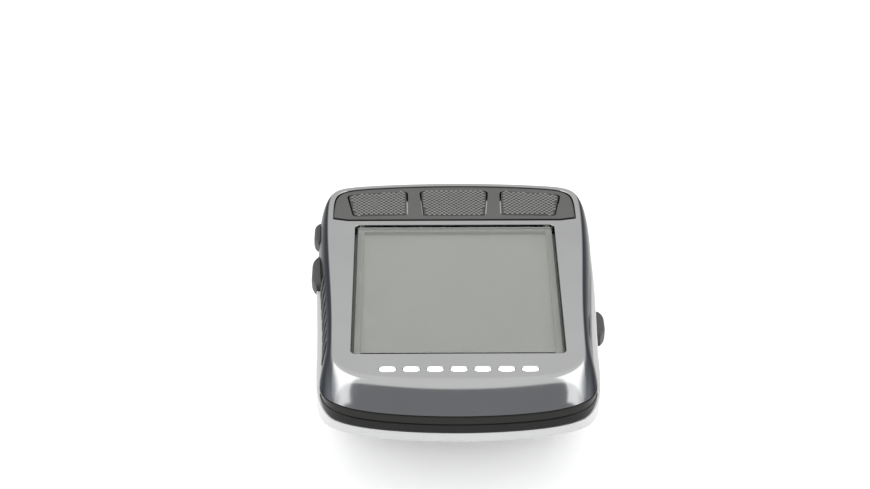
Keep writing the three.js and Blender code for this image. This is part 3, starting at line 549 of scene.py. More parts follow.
top = stack("top_shell", top_rings())
rim_low = [at_height(outline(inset(SEAM_PLAN, WALL), 32), SEAM_Z - 1)]
combine(top, [stack("cavity", rim_low + top_rings(WALL, 10, 32))])
FACE_CUT_Z = 20.0
cutters = [flared_cutter("opening", opening_loop, FACE_CUT_Z, TOP_Z, 0.1),
           flared_cutter("recess", keypad_loop(KEYPAD_RIM), SHELF_Z, TOP_Z, 0.15)]
cutters += [flared_cutter("slot", led_loop(i, 0.08), FACE_CUT_Z, TOP_Z, 0.08) for i in range(LED_COUNT)]
SHELF_LEDGE = 0.8
SHELF_BOTTOM_Z = 19.4
shelf_loop = offset(keypad_loop(KEYPAD_RIM), SHELF_LEDGE)
shelf = stack("shelf", [at_height(shelf_loop, z) for z in (SHELF_BOTTOM_Z, TOP_Z - 0.4)])
combine(top, [shelf], "UNION")
combine(top, cutters)
combine(top, [band_space(0.08)])
key_loops = {key: rounded(shape, KEY_CORNER) for key, shape in KEYS.items()}
combine(top, [stack("key_hole", [at_height(loop, z) for z in (15, 25)]) for loop in key_loops.values()])
combine(top, [button_cutter(button) for button in SIDE_BUTTONS.values()])
top.name = "top_shell"
dress(top, "case", paint, ["top_housing"])


# ---- Lower housing -------------------------------------------------------------------------------
# The white tub that everything is screwed into. Its rim shows as a pale ledge beside the narrower
# top housing, and its chin slopes back under the nose.

RIM_PLAN = {**SEAM_PLAN, "half": 23.65, "waist": 22.9, "flare": 0.0, "start": 14.0}
FLOOR_INSET = 3.2
FLOOR_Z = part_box("lower_housing")[0][2] / MM
BELLY_Z = 12.5
CHIN_Z = 13.9
CHIN_SLOPE = 2.0
CHIN_ROUND = 0.8
RIM_Z = SEAM_Z - 0.12
BELLY_PLAN = {**RIM_PLAN, "nose": 37.3}
FLOOR_PLAN = {**BELLY_PLAN, "rear": 37.3 - FLOOR_INSET, "half": BELLY_PLAN["half"] - FLOOR_INSET,
              "waist": BELLY_PLAN["waist"] - FLOOR_INSET}


def chin_recede(z):
    """How far the chin slopes back at a height."""
    return CHIN_SLOPE * (math.hypot(CHIN_Z - z, CHIN_ROUND) - CHIN_ROUND) if z < CHIN_Z else 0.0


def lower_rings(d=0.0, steps=22, per_quadrant=48, edge=0.15):
    """The lower housing's sections from its floor up to its rim, moved inwards by d."""
    levels = []
    for k in range(steps + 1):
        a = k / steps * math.pi / 2
        drop = math.cos(a) ** 0.8 if k < steps else 0.0
        lean = 1 - math.sin(a) ** 0.8
        levels.append((inset(mix(BELLY_PLAN, FLOOR_PLAN, lean), d),
                       BELLY_Z - (BELLY_Z - FLOOR_Z - d) * drop))
    for z in (12.9, 13.3, 13.6, CHIN_Z, 14.6, RIM_Z - edge):
        levels.append((inset(RIM_PLAN, d), z))
    for k in (1, 2, 3) if edge else ():
        a = k / 3 * math.pi / 2
        levels.append((inset(RIM_PLAN, d + edge * (1 - math.cos(a))), RIM_Z - edge + edge * math.sin(a)))
    rings = []
    for plan, z in levels:
        slanted = min(max((CHIN_Z - z) / 2, 0), 1)
        nose = plan["nose"] - chin_recede(z) - d * (math.hypot(1, CHIN_SLOPE) - 1) * slanted
        rings.append(at_height(outline({**plan, "nose": nose}, per_quadrant), z))
    return rings


white = finish_material("shell_white", (0.82, 0.817, 0.805), 0.30, drift=0.012, grain_per_mm=7.0,
                        bump_mm=0.002, rubbing=0.08, Coat_Weight=0.15, Coat_Roughness=0.2)

# The height that the case screws' heads seat at, for each row of screws along the body.
HEAD_SEAT = {31.0: 6.6, -25.5: 10.6}
CASE_SCREWS = [(x, y) for y in HEAD_SEAT for x in (-16.6, 16.6)]
COUNTERBORE = 2.1


def circle(radius, x=0.0, y=0.0, count=40):
    angles = [2 * math.pi * i / count for i in range(count)]
    return [(x + radius * math.cos(a), y + radius * math.sin(a)) for a in angles]


def tube(name, radius, x, y, z0, z1, count=40):
    return stack(name, [at_height(circle(radius, x, y, count), z) for z in (z0, z1)])


lower = stack("lower_shell", lower_rings())
mouth = at_height(outline(inset(RIM_PLAN, WALL), 32), SEAM_Z + 2)
combine(lower, [stack("cavity", lower_rings(WALL, 10, 32, 0) + [mouth])])
bosses = [tube("boss", COUNTERBORE + 0.7, x, y, HEAD_SEAT[y] - 0.5, 12.6) for x, y in CASE_SCREWS]
combine(lower, bosses, "UNION")
combine(lower, [tube("bore", COUNTERBORE, x, y, 0, HEAD_SEAT[y]) for x, y in CASE_SCREWS])
combine(lower, [tube("hole", 1.25, x, y, HEAD_SEAT[y] - 1, 14, 24) for x, y in CASE_SCREWS])
COVER_LOW, COVER_HIGH = box_mm("port_cover")
PORT_HALF = 4.8
PORT_LOW_Z, PORT_HIGH_Z = 8.9, 12.2
POCKET_HALF = 7.25
POCKET_GAP = 0.25
POCKET_FLOOR_Y = 36.5
VENT_PLACE = (-12, 27)
VENT_RADIUS = 0.8
pocket_side = rectangle(-POCKET_HALF, POCKET_HALF, COVER_LOW.z - POCKET_GAP, COVER_HIGH.z + POCKET_GAP)
pocket_side = rounded(pocket_side, 1.1)
port_side = rounded(rectangle(-PORT_HALF, PORT_HALF, PORT_LOW_Z, PORT_HIGH_Z), 0.9)


def turned_to_rear(thing):
    """Turns a stack built on (x, z, -y) into place, so that its top faces the nose."""
    thing.data.transform(Matrix(((1, 0, 0, 0), (0, 0, -1, 0), (0, 1, 0, 0), (0, 0, 0, 1))))
    return thing


pocket = stack("pocket", [at_height(pocket_side, z) for z in (-45, -POCKET_FLOOR_Y)])
combine(lower, [turned_to_rear(pocket)])
port = stack("port", [at_height(port_side, z) for z in (-45, -30)])
combine(lower, [turned_to_rear(port)])
combine(lower, [tube("vent_hole", VENT_RADIUS, *VENT_PLACE, 0, 6, 24)])
combine(lower, [band_wedge(0.1)])
combine(lower, [button_cutter(button) for button in SIDE_BUTTONS.values()])
dress(lower, "case", white, ["lower_housing"])


# ---- Nose band -----------------------------------------------------------------------------------
# A glossy dark trim with a fine step along its middle, held between the two housings at the nose.

BAND_PROUD = 0.15
BAND_STEP_Z = 16.6
band_black = finish_material("band_black", (0.010, 0.010, 0.010), 0.28, drift=0.05, grain_per_mm=8.0,
                             bump_mm=0.0006, rubbing=0.05, Specular_IOR_Level=0.3)
tree = band_black.node_tree
height = add_node(tree, "ShaderNodeSeparateXYZ", Vector=object_place(tree))
upper_half = map_range(tree, height.outputs["Z"], (BAND_STEP_Z - 0.05) * MM, (BAND_STEP_Z + 0.05) * MM)
paint_over(band_black, upper_half, (0.020, 0.020, 0.017))


def band_rings():
    low, high = BAND_LOW_Z, BAND_HIGH_Z
    profile = [(low, -0.10), (low + 0.06, 0.10), (low + 0.25, BAND_PROUD), (BAND_STEP_Z - 0.12, BAND_PROUD),
               (BAND_STEP_Z - 0.03, BAND_PROUD - 0.06), (BAND_STEP_Z, -0.02), (BAND_STEP_Z + 0.05, 0.02),
               (high - 0.15, 0.0), (high - 0.03, -0.04), (high, -0.14)]
    return [at_height(outline(inset(SEAM_PLAN, -proud)), z) for z, proud in profile]


band = stack("nose_trim", band_rings())
combine(band, [band_space(0)], "INTERSECT")
dress(band, "case", band_black, ["nose_band"])


# ---- Display window and what shows through it ----------------------------------------------------
# Clear glass with a ground edge lies just below the face. It is bonded to the
# grey-green reflective panel by a clear adhesive, whose ring is painted a little lighter than the panel
# to offset the shade that the opening's walls cast on it, so its border looks only a little darker than the
# panel.

def rounded_slab(name, loop, z0, z1, edge, steps=4, bottom_edge=None):
    """A slab with rounded top and bottom edges."""
    low = edge if bottom_edge is None else bottom_edge
    rings = []
    for k in range(steps + 1):
        a = k / steps * math.pi / 2
        rings.append(at_height(offset(loop, -low * (1 - math.sin(a))), z0 + low * (1 - math.cos(a))))
    for k in range(steps + 1):
        a = k / steps * math.pi / 2
        rings.append(at_height(offset(loop, -edge * (1 - math.cos(a))), z1 - edge + edge * math.sin(a)))
    return stack(name, rings)


glass, glass_shader = new_material("window_clear")
glass_shader.inputs["Base Color"].default_value = (0.97, 0.98, 0.97, 1)
glass_shader.inputs["Transmission Weight"].default_value = 1.0
glass_shader.inputs["Metallic"].default_value = 0.0
glass_shader.inputs["IOR"].default_value = 1.45
tree = glass.node_tree
glass_skin = add_node(tree, "ShaderNodeGroup", {"node_tree": moulded_skin}, Color=(1, 1, 1, 1), Drift=0.0,
                      Grain_per_mm=0.6, Roughness=0.03, Rubbing=0.03)
tree.links.new(glass_skin.outputs["Roughness"], glass_shader.inputs["Roughness"])

window = rounded_slab("window_pane", offset(window_loop, -0.1), window_low.z, window_high.z, 0.15,
                      bottom_edge=0.02)
dress(window, "case", glass, ["display_window"])

panel_grey = finish_material("panel_grey", (0.328, 0.340, 0.307), 0.55, drift=0.02, grain_per_mm=12.0,
                             bump_mm=0.0, rubbing=0.0)
# Painted light: the adhesive ring's grey is lighter than the panel's, to offset the shade cast on it by the
# opening's walls.
bond_grey_shade_lifted = finish_material("bond_grey_shade_lifted", (0.362, 0.375, 0.342), 0.55, drift=0.05, grain_per_mm=8.0,
                            bump_mm=0.001, rubbing=0.0)
foam_black = finish_material("foam_black", (0.020, 0.020, 0.021), 0.9, drift=0.15, grain_per_mm=7.0,
                             bump_mm=0.05, rubbing=0.0)


def finish_nodes(material, *names):
    """Gives carried-over parts of the frame their finish."""
    for name in names:
        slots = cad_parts[name].data.materials
        slots.clear()
        slots.append(material)


finish_nodes(panel_grey, "display_panel")
finish_nodes(bond_grey_shade_lifted, "window_adhesive")
finish_nodes(foam_black, "display_gasket")


# ---- Keypad skin and keys ------------------------------------------------------------------------
# Moulded warm-grey silicone rubber. The skin fills the recess; each key stands a little above it
# and has a field of small bumps for grip.

BUMP_PITCH = 0.86
BUMP_ROW = 0.54
BUMP_RADIUS = 0.34
BUMP_HEIGHT = 0.2
CAP_EDGE = 0.12
CAP_TOP = SKIN_Z

rubber = finish_material("button_rubber", (0.078, 0.077, 0.075), 0.5, drift=0.06, grain_per_mm=5.0,
                         bump_mm=0.006, rubbing=0.12, Specular_IOR_Level=0.35)


def paint_shade_below(material, low, high, color, source="Object"):
    """Darkens a material between two values of a coordinate: painted shade in gaps and recesses."""
    tree = material.node_tree
    kind = "ShaderNodeTexCoord" if source == "Object" else "ShaderNodeNewGeometry"
    place = add_node(tree, "ShaderNodeSeparateXYZ", Vector=add_node(tree, kind).outputs[source])
    paint_over(material, map_range(tree, place.outputs["Z"], low, high, 1.0, 0.0), color)


gap_shaded_rubber = finish_material("keypad_skin", (0.110, 0.109, 0.105), 0.6, drift=0.04, grain_per_mm=5.0,
                                 bump_mm=0.006, rubbing=0.10, Specular_IOR_Level=0.3)
# Painted shade: the skin's steep faces are darkened nearly to black, for the shadow in the gap around the
# skin.
paint_shade_below(gap_shaded_rubber, 0.25, 0.6, (0.008, 0.008, 0.008), source="Normal")
bumped_rubber = finish_material("key_rubber", (0.258, 0.257, 0.250), 0.5, drift=0.04, grain_per_mm=5.0,
                                bump_mm=0.006, rubbing=0.10, Specular_IOR_Level=0.35)
# Painted shade: each key is darkened from its cap top up to three quarters of the bumps' height, for the
# shade between the bumps.
paint_shade_below(bumped_rubber, CAP_TOP * MM, (CAP_TOP + 0.75 * BUMP_HEIGHT) * MM, (0.052, 0.052, 0.051))
SKIN_SETBACK = 0.9


def key_hole_shape(shape, side_gap=0.3, end_gap=0.03):
    """A key's hole in the skin: open at the key's sides, close along its front and rear edges."""
    middle_x = sum(x for x, _ in shape) / len(shape)
    middle_y = sum(y for _, y in shape) / len(shape)
    return [(x + math.copysign(side_gap, x - middle_x), y + math.copysign(end_gap, y - middle_y))
            for x, y in shape]


skin_loop = keypad_loop(KEYPAD_RIM + 0.1)
front_y = min(y for _, y in skin_loop)
skin_loop = [(x, y + (SKIN_SETBACK if y < front_y + KEYPAD_CLIP + 0.1 else 0)) for x, y in skin_loop]
skin = rounded_slab("keypad_skin", skin_loop, SHELF_Z, SKIN_Z, 0.15)
holes = [rounded(key_hole_shape(shape), KEY_CORNER) for shape in KEYS.values()]
combine(skin, [flared_cutter("key_hole", hole, SHELF_Z - 3.0, SKIN_Z, 0.03) for hole in holes])
dress(skin, "case", gap_shaded_rubber, ["keypad_strip"])


def inside(point, loop):
    """Whether a point lies inside a convex anticlockwise loop."""
    return all((b[0] - a[0]) * (point[1] - a[1]) - (b[1] - a[1]) * (point[0] - a[0]) > 0
               for a, b in zip(loop, loop[1:] + loop[:1]))


def bump_field(shape):
    """Low domes in staggered rows over a key, as one mesh of closed domes."""
    low_y, high_y = min(y for _, y in shape), max(y for _, y in shape)
    middle_x = sum(x for x, _ in shape) / len(shape)
    field = offset(shape, -0.24)
    domes = []
    row = 0
    y = low_y + 0.3
    while y < high_y:
        x = middle_x - 9 * BUMP_PITCH + (row % 2) * BUMP_PITCH / 2
        while x < middle_x + 9 * BUMP_PITCH:
            if inside((x, y), field):
                rings = [at_height(circle(BUMP_RADIUS, x, y, 8), CAP_TOP - 0.05),
                         at_height(circle(BUMP_RADIUS, x, y, 8), CAP_TOP + 0.01),
                         at_height(circle(BUMP_RADIUS * 0.78, x, y, 8), CAP_TOP + BUMP_HEIGHT * 0.6),
                         at_height(circle(BUMP_RADIUS * 0.35, x, y, 8), CAP_TOP + BUMP_HEIGHT)]
                domes.append(rings)
            x += BUMP_PITCH
        y += BUMP_ROW
        row += 1
    return domes


FLANGE_Z = (18.3, 19.1)
FLANGE_LEDGE = 0.45
STEM_RADIUS = 0.8
STEM_PLACES = {"key_left": (-12, 28.5), "key_center": (0, 29.9), "key_right": (12, 28.5)}
for key, loop in key_loops.items():
    cap = rounded_slab(key + "_cap", loop, FLANGE_Z[0] + 0.4, CAP_TOP, CAP_EDGE)
    flange = rounded_slab("flange", offset(loop, FLANGE_LEDGE), *FLANGE_Z, 0.1)
    stem = tube("stem", STEM_RADIUS, *STEM_PLACES[key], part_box(key)[0].z / MM, FLANGE_Z[0] + 0.2, 16)
    cap = joined([cap, flange, stem, stack_group("bumps", bump_field(KEYS[key]))])
    dress(cap, key, bumped_rubber, [key], sharp=50)


# ---- Side buttons --------------------------------------------------------------------------------
# Three rubber-skinned buttons with slanted ends: two on the rider's right, the power button on
# the rider's left.

SHOULDER = 0.9
BUTTON_EDGE = 0.45


def button_cap(name, button, inner, outer, steps=8):
    """A button's cap as a stack along X: its ends taper towards the outer face, whose edge is round."""
    rings = [at_height(rounded(button_loop(button), 0.6), inner)]
    (y0, y1), (z0, z1) = button["y"], button["z"]
    for k in range(steps + 1):
        t = k / steps
        taper = button["taper"] * t
        bow = SHOULDER * (1 - (1 - t) ** 1.5)
        edge = BUTTON_EDGE * max(0, t - 0.35) ** 2 / 0.65**2
        ring = {**button, "y": (y0 + taper, y1 - taper), "z": (z0 + edge, z1 - edge)}
        rings.append(at_height(rounded(button_loop(ring), 0.6 - 0.25 * t), outer - SHOULDER + bow))
    return stack(name, rings)


for name, button in SIDE_BUTTONS.items():
    low, high = box_mm(name)
    outer = abs(low.x if button["side"] < 0 else high.x)
    body = button_cap("body", button, 20.3, outer)
    foot_z = low.z
    flange_loop = rounded(rectangle(button["y"][0], button["y"][1], foot_z, button["z"][1] + 0.25), 0.4)
    flange = rounded_slab("flange", flange_loop, 20.2, 20.9, 0.1)
    middle = sum(button["y"]) / 2
    stem = tube("stem", 0.6, middle, 14.5, 17.6, 20.5, 16)
    cap = turned_to_side(joined([body, flange, stem]))
    if button["side"] < 0:
        cap.data.transform(Matrix.Diagonal((-1, 1, 1, 1)))
        cap.data.flip_normals()
    cap.name = name + "_cap"
    dress(cap, name, rubber, [name], sharp=50)


# ---- Grip ribs -----------------------------------------------------------------------------------
# Slanted ribs moulded proud of the top housing's side, ahead of the side buttons.

RIB_COUNT = 7
RIB_PITCH = 3.8
RIB_FIRST_Y = 3.6


def wall_point(y, z, proud):
    """A point on the left wall of the top housing at a place along the body and a height."""
    fall = (TOP_Z - z) / (TOP_Z - SEAM_Z)
    target = math.cos(ROLL_START) - fall * (math.cos(ROLL_START) - math.cos(ROLL_END))
    roll = math.acos(target)
    run = (math.sin(roll) - math.sin(ROLL_START)) / (math.sin(ROLL_END) - math.sin(ROLL_START))
    plan = mix(FACE_PLAN, SEAM_PLAN, run)
    taper = (plan["half"] - plan["waist"]) * smooth((plan["start"] - y) / (plan["start"] - WAIST_Y))
    flare = plan["flare"] * smooth((WAIST_Y - y) / FLARE_LENGTH)
    return (-(plan["half"] - taper + flare) - proud, y, z)


def grip_rib(y):
    """One rib as rings of a rounded section running up the wall and towards the rear."""
    rings = []
    steps = 10
    for k in range(steps + 1):
        t = k / steps
        z = 17.5 + 3.1 * t
        along = y - 0.8 + 2.2 * t
        swell = math.sin(math.pi * min(max(t, 0.04), 0.96)) ** 0.4
        section = []
        for i in range(10):
            a = 2 * math.pi * i / 10
            x, yy, zz = wall_point(along + 0.5 * swell * math.cos(a), z, 0.22 * swell * math.sin(a))
            section.append((x, yy, zz))
        rings.append(section)
    return rings


ribs = stack_group("grip_ribs", [grip_rib(RIB_FIRST_Y - i * RIB_PITCH) for i in range(RIB_COUNT)])
# Painted shade: the ribs get a dark grey of their own, darker than the housing they are moulded on, for the
# dark marks they make on the side.
rib_shade_grey = finish_material("rib_shade_grey", (0.070, 0.073, 0.077), 0.42, drift=0.05, grain_per_mm=6.0,
                           bump_mm=0.004, rubbing=0.1, Specular_IOR_Level=0.35)
dress(ribs, "case", rib_shade_grey, sharp=60)


# ---- Status lights -------------------------------------------------------------------------------
# One clear moulding carries seven lenses up through the slots in the face; a chip under each
# lens is lit.

lit, lit_shader = new_material("lens_lit")
lit_tree = lit.node_tree
lens_skin = add_node(lit_tree, "ShaderNodeGroup", {"node_tree": moulded_skin}, Color=(0.95, 0.97, 1.0, 1),
                     Drift=0.01, Grain_per_mm=6.0, Roughness=0.25, Rubbing=0.0)
lit_tree.links.new(lens_skin.outputs["Color"], lit_shader.inputs["Base Color"])
lit_tree.links.new(lens_skin.outputs["Roughness"], lit_shader.inputs["Roughness"])
lit_tree.links.new(lens_skin.outputs["Color"], lit_shader.inputs["Emission Color"])
lit_shader.inputs["Emission Strength"].default_value = 1.3

pipe_low, pipe_high = box_mm("light_pipe")
BAR_TOP_Z = 20.3
bar_loop = rounded(rectangle(pipe_low.x, pipe_high.x, pipe_low.y, pipe_high.y), 0.4)
bar = rounded_slab("light_pipe_lenses", bar_loop, pipe_low.z, BAR_TOP_Z, 0.1)
lenses = [rounded_slab("lens", led_loop(i), BAR_TOP_Z - 0.1, TOP_Z - 0.03, 0.12) for i in range(LED_COUNT)]
dress(joined([bar] + lenses), "case", lit, ["light_pipe"], sharp=50)


# ---- Display frame, backlight and their screws ---------------------------------------------------
# A pressed and brushed steel tray carries the backlight and panel. Four small machined screws
# pull it up against posts under the face.

brushed, brushed_in, brushed_out = new_group(
    "brushed_metal",
    [("Color", "Color"), ("Roughness", "Float"), ("Stretch", "Vector")],
    [("Color", "Color"), ("Roughness", "Float"), ("Height", "Float")],
)
strokes_place = add_node(brushed, "ShaderNodeVectorMath", {"operation": "MULTIPLY"},
                         i0=object_place(brushed), i1=brushed_in.outputs["Stretch"])
strokes = add_node(brushed, "ShaderNodeTexNoise", Vector=strokes_place.outputs[0], Scale=1.0,
                   Detail=4.0).outputs["Fac"]
stroke_color = add_node(brushed, "ShaderNodeVectorMath", {"operation": "SCALE"},
                        i0=brushed_in.outputs["Color"],
                        Scale=map_range(brushed, strokes, 0.0, 1.0, 0.88, 1.1))
brushed.links.new(stroke_color.outputs[0], brushed_out.inputs["Color"])
stroke_roughness = map_range(brushed, strokes, 0.0, 1.0, -0.05, 0.12)
uneven = calculate(brushed, "ADD", brushed_in.outputs["Roughness"], stroke_roughness, use_clamp=True)
brushed.links.new(uneven, brushed_out.inputs["Roughness"])
brushed.links.new(strokes, brushed_out.inputs["Height"])


def brushed_material(name, color, roughness, stretch):
    """Bare metal with fine strokes; stretch is how many strokes fit a metre along each axis."""
    material, shader = new_material(name)
    skin = add_node(material.node_tree, "ShaderNodeGroup", {"node_tree": brushed}, Color=(*color, 1),
                    Roughness=roughness, Stretch=stretch)
    wear_skin(material, skin, 0.004)
    shader.inputs["Metallic"].default_value = 1.0
    return material


frame_steel = brushed_material("frame_steel", (0.55, 0.56, 0.57), 0.32, (300, 9000, 9000))
screw_steel = brushed_material("screw_steel", (0.30, 0.30, 0.31), 0.28, (4000, 4000, 12000))
frosted = finish_material("frosted_guide", (0.82, 0.84, 0.85), 0.4, drift=0.01, grain_per_mm=10.0,
                          bump_mm=0.003, rubbing=0.0)
finish_nodes(frame_steel, "display_frame")
finish_nodes(frosted, "backlight")
finish_nodes(screw_steel, *(f"frame_screw_{i}" for i in range(1, 5)), "board_screw_1", "board_screw_2")


# ---- Light board and its chips -------------------------------------------------------------------
# A narrow green circuit board under the light pipe, with one pale chip for each lens.

TRACES_PER_METRE = 900.0
board_green = finish_material("board_green", (0.015, 0.105, 0.055), 0.3, drift=0.08, grain_per_mm=4.0,
                              bump_mm=0.002, rubbing=0.05, Coat_Weight=0.2)
# Straight copper tracks show faintly through the solder mask.
tree = board_green.node_tree
tracks = add_node(tree, "ShaderNodeTexBrick", {"offset": 0.37, "squash": 1.0}, Scale=TRACES_PER_METRE,
                  Mortar_Size=0.06, Vector=object_place(tree), Brick_Width=3.1, Row_Height=0.8)
paint_over(board_green, tracks.outputs["Fac"], (0.035, 0.20, 0.09))
chip_cream = finish_material("chip_cream", (0.82, 0.80, 0.62), 0.35, drift=0.04, grain_per_mm=8.0,
                             bump_mm=0.002, rubbing=0.0)
finish_nodes(board_green, "led_board", "main_board")
finish_nodes(chip_cream, *(f"led_{i}" for i in range(1, LED_COUNT + 1)))


# ---- Main board components -----------------------------------------------------------------------
# The antenna is a fired ceramic tile with a silvered top; the shield can is tin-plated sheet; the
# key and button switches and the buzzer are black mouldings.

ceramic = finish_material("antenna_ceramic", (0.50, 0.42, 0.31), 0.5, drift=0.06, grain_per_mm=9.0,
                          bump_mm=0.004, rubbing=0.05)
SILVER_RADIUS = 4.6
antenna_low, antenna_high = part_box("satellite_antenna")
tree = ceramic.node_tree
top_middle = Vector((*((antenna_low + antenna_high) / 2).xy, antenna_high.z))
from_middle = add_node(tree, "ShaderNodeVectorMath", {"operation": "DISTANCE"},
                       i0=object_place(tree), i1=top_middle)
silvered = calculate(tree, "LESS_THAN", from_middle.outputs["Value"], SILVER_RADIUS * MM)
paint_over(ceramic, silvered, (0.72, 0.71, 0.69))
tree.links.new(silvered, tree.nodes["Principled BSDF"].inputs["Metallic"])
finish_nodes(ceramic, "satellite_antenna")
tin = brushed_material("tin_plate", (0.62, 0.63, 0.64), 0.36, (2500, 2500, 2500))
finish_nodes(tin, "shield_can", "charging_port")
switch_black = finish_material("switch_black", (0.025, 0.025, 0.026), 0.5, drift=0.08, grain_per_mm=6.0,
                               bump_mm=0.006, rubbing=0.1)
finish_nodes(switch_black, "buzzer", "key_switch_left", "key_switch_center", "key_switch_right",
             "side_switch_rear", "side_switch_front", "power_switch")
film_white = finish_material("vent_film", (0.86, 0.86, 0.84), 0.8, drift=0.02, grain_per_mm=14.0,
                             bump_mm=0.01, rubbing=0.0)
finish_nodes(film_white, "vent_membrane")


# ---- Display cable and connectors ----------------------------------------------------------------
# Amber polyimide film with copper tracks running along it, and cream moulded connectors.

amber = finish_material("flex_amber", (0.42, 0.19, 0.05), 0.35, drift=0.05, grain_per_mm=5.0, bump_mm=0.002,
                        rubbing=0.05)
TRACKS_ACROSS = 2100.0
tree = amber.node_tree
lines = add_node(tree, "ShaderNodeTexWave", {"wave_type": "BANDS", "bands_direction": "X"},
                 Vector=object_place(tree), Scale=TRACKS_ACROSS / (2 * math.pi))
paint_over(amber, map_range(tree, lines.outputs["Fac"], 0.45, 0.6), (0.62, 0.30, 0.11))
finish_nodes(amber, "display_flex")
cream = finish_material("connector_cream", (0.75, 0.74, 0.70), 0.45, drift=0.03, grain_per_mm=7.0,
                        bump_mm=0.004, rubbing=0.05)
finish_nodes(cream, "flex_connector", "battery_connector")


# ---- Battery, its pad and lead -------------------------------------------------------------------
# A soft pouch cell in crimped foil, bedded on a foam pad, with a short sleeved lead to its plug.

foil = brushed_material("battery_foil", (0.62, 0.63, 0.65), 0.3, (1200, 1200, 1200))
tree = foil.node_tree
creases = add_node(tree, "ShaderNodeTexVoronoi", {"feature": "DISTANCE_TO_EDGE"},
                   Vector=object_place(tree), Scale=420.0)
normal = tree.nodes["Principled BSDF"].inputs["Normal"]
crinkle = add_node(tree, "ShaderNodeBump", Height=creases.outputs["Distance"], Distance=0.15 * MM,
                   Strength=0.6, Normal=normal.links[0].from_socket)
tree.links.new(crinkle.outputs["Normal"], normal)
finish_nodes(foil, "battery")
finish_nodes(foam_black, "battery_pad")
sleeve = finish_material("lead_sleeve", (0.03, 0.03, 0.03), 0.5, drift=0.06, grain_per_mm=6.0,
                         bump_mm=0.004, rubbing=0.1)
finish_nodes(sleeve, "battery_lead")


# ---- Port cover ----------------------------------------------------------------------------------
# A soft rubber flap that fills a pocket in the rear wall. A plug on its inner side seals the port
# and a small lip under its edge takes a fingernail. It bends open about its top edge.

cover_side = rounded(rectangle(COVER_LOW.x, COVER_HIGH.x, COVER_LOW.z, COVER_HIGH.z), 0.95, 8)
flap = turned_to_rear(rounded_slab("port_flap", cover_side, -38.2, -36.6, 0.1))
combine(flap, [stack("rear_surface", lower_rings(0.03))], "INTERSECT")
plug_low_z, plug_high_z = PORT_LOW_Z + 0.35, PORT_HIGH_Z - 0.25
plug_side = rounded(rectangle(-4.4, 4.4, plug_low_z, plug_high_z), 0.9, 8)
plug = turned_to_rear(rounded_slab("plug", plug_side, -36.7, -COVER_LOW.y, 0.25))
seal_side = offset(plug_side, 0.1)
seal = turned_to_rear(rounded_slab("seal_bead", seal_side, -36.1, -35.7, 0.18))
lip_y = -COVER_HIGH.y + 0.02
lip_side = rounded(rectangle(-2.2, 2.2, COVER_LOW.z + 0.25, COVER_LOW.z + 0.75), 0.22)
lip = turned_to_rear(rounded_slab("lip", lip_side, lip_y, -36.9, 0.08))
combine(flap, [plug, seal, lip], "UNION")
flap_rubber = finish_material("flap_rubber", (0.20, 0.20, 0.195), 0.55, drift=0.04, grain_per_mm=5.0,
                              bump_mm=0.006, rubbing=0.12, Specular_IOR_Level=0.35)
dress(flap, "port_cover", flap_rubber, ["port_cover"])


# ---- Quarter-turn fitting ------------------------------------------------------------------------
# A glass-filled black moulding on the underside. Two opposed ears slide into a bracket and lock
# after a quarter of a turn; four countersunk holes take its screws.

NECK_RADIUS = 11.2
EAR_RADIUS = 14.3
EAR_THICK = 1.6
EAR_HALF_ANGLE = 0.5
MOUNT_SCREW_RING = 8.0
MOUNT_SEAT = 1.6
FITTING_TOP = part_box("quarter_turn_mount")[1][2] / MM


def lathe(name, profile, x=0.0, y=0.0, count=32):
    """A turned shape from pairs of radius and height, lowest first."""
    return stack(name, [at_height(circle(radius, x, y, count), z) for radius, z in profile])


def ear_loop(centre_angle, radius, half_angle, steps=24):
    """An ear seen from above: a sector with eased corners, closed inside the neck."""
    arc = []
    for k in range(steps + 1):
        t = -1 + 2 * k / steps
        eased = radius - 0.5 * max(0.0, abs(t) - 0.85) / 0.15
        a = centre_angle + half_angle * t
        arc.append((eased * math.cos(a), eased * math.sin(a)))
    return arc + [(0.2 * math.cos(centre_angle + 2), 0.2 * math.sin(centre_angle + 2)),
                  (0.2 * math.cos(centre_angle - 2), 0.2 * math.sin(centre_angle - 2))]


mount_black = finish_material("mount_black", (0.022, 0.022, 0.024), 0.42, drift=0.08, grain_per_mm=3.0,
                              bump_mm=0.012, rubbing=0.15)
fitting = lathe("quarter_turn", [(NECK_RADIUS - 0.35, 0), (NECK_RADIUS, 0.35),
                                 (NECK_RADIUS, FITTING_TOP - 0.5),
                                 (NECK_RADIUS + 0.45, FITTING_TOP - 0.02)], count=96)
ears = []
for centre_angle in (0.0, math.pi):
    levels = [(0.0, 0.3), (0.3, 0.0), (EAR_THICK - 0.3, 0.0), (EAR_THICK, 0.3)]
    ears.append(stack("ear", [at_height(ear_loop(centre_angle, EAR_RADIUS - ease,
                                                 EAR_HALF_ANGLE - 0.02 * ease), z) for z, ease in levels]))
for ear in ears:
    combine(fitting, [ear], "UNION")
mount_screws = [(MOUNT_SCREW_RING * math.cos(a), MOUNT_SCREW_RING * math.sin(a))
                for a in ((i + 0.5) * math.pi / 2 for i in range(4))]
sink = [(2.0, -1), (2.0, 0.0), (1.8, 0.2), (1.8, MOUNT_SEAT)]
combine(fitting, [lathe("sink", sink, x, y) for x, y in mount_screws])
combine(fitting, [tube("hole", 0.9, x, y, 1, 5, 24) for x, y in mount_screws])
dress(fitting, "case", mount_black, ["quarter_turn_mount"])


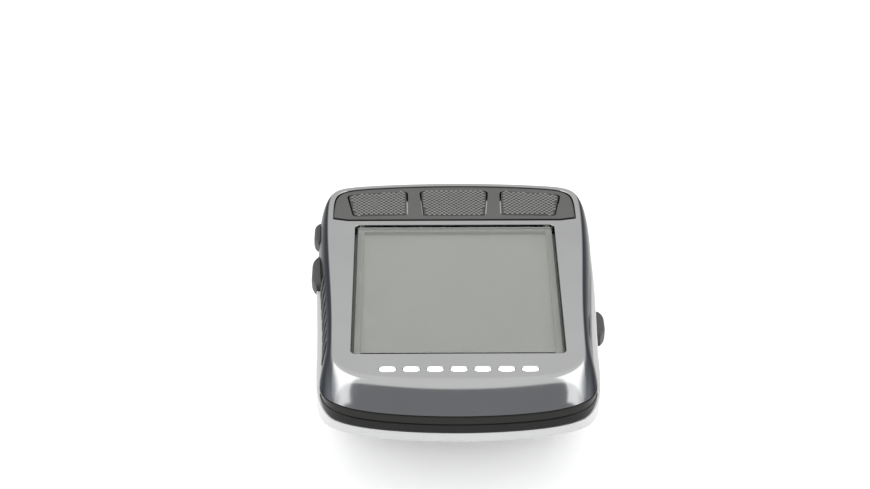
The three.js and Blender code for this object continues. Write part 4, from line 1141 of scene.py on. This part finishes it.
# ---- Screws through the underside ----------------------------------------------------------------
# Rolled-thread steel screws with low round heads and six-lobed sockets: four hold the fitting and
# four longer ones close the case from the bottoms of deep bores.

def star(radius, x, y, count=48):
    """A six-lobed socket outline."""
    angles = [2 * math.pi * i / count for i in range(count)]
    reach = [radius * (1 + 0.13 * math.cos(6 * a)) for a in angles]
    return [(x + r * math.cos(a), y + r * math.sin(a)) for a, r in zip(angles, reach)]


def thread_profile(radius, z0, z1, pitch):
    """Radius and height pairs of a ridged shank."""
    turns = int((z1 - z0) / pitch)
    levels = [z0 + k * pitch for k in range(turns)]
    return [pair for z in levels for pair in ((radius * 0.82, z), (radius, z + 0.5 * pitch))]


def lobed_screw(name, x, y, seat_z, tip_z, head, head_radius, radius, pitch):
    """A screw whose head hangs below its seat and whose shank runs up to its tip."""
    head_z = seat_z - head
    edge = 0.25 * head_radius
    profile = [(head_radius - edge, head_z), (head_radius - 0.3 * edge, head_z + 0.25 * edge),
               (head_radius, head_z + edge), (head_radius, seat_z), (radius * 0.82, seat_z + 0.01)]
    profile += thread_profile(radius, seat_z + 0.1, tip_z, pitch) + [(radius * 0.3, tip_z)]
    body = lathe(name, profile, x, y)
    socket = star(head_radius * 0.5, x, y)
    combine(body, [stack("socket", [at_height(socket, z) for z in (head_z - 1, head_z + 0.7)])])
    return body


# Head height, head radius, shank radius and thread pitch of the two kinds of screw.
MOUNT_SCREW = dict(head=1.2, head_radius=1.5, radius=0.6, pitch=0.35)
CASE_SCREW = dict(head=1.5, head_radius=1.8, radius=0.95, pitch=0.5)
rows = [(f"mount_screw_{i}", place, MOUNT_SEAT, MOUNT_SCREW) for i, place in enumerate(mount_screws, 1)]
rows += [(f"case_screw_{i}", place, HEAD_SEAT[place[1]], CASE_SCREW)
         for i, place in enumerate(CASE_SCREWS, 1)]
for name, (x, y), seat_z, kind in rows:
    screw = lobed_screw(name + "_lobed", x, y, seat_z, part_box(name)[1].z / MM, **kind)
    dress(screw, "case", screw_steel, [name], sharp=40)
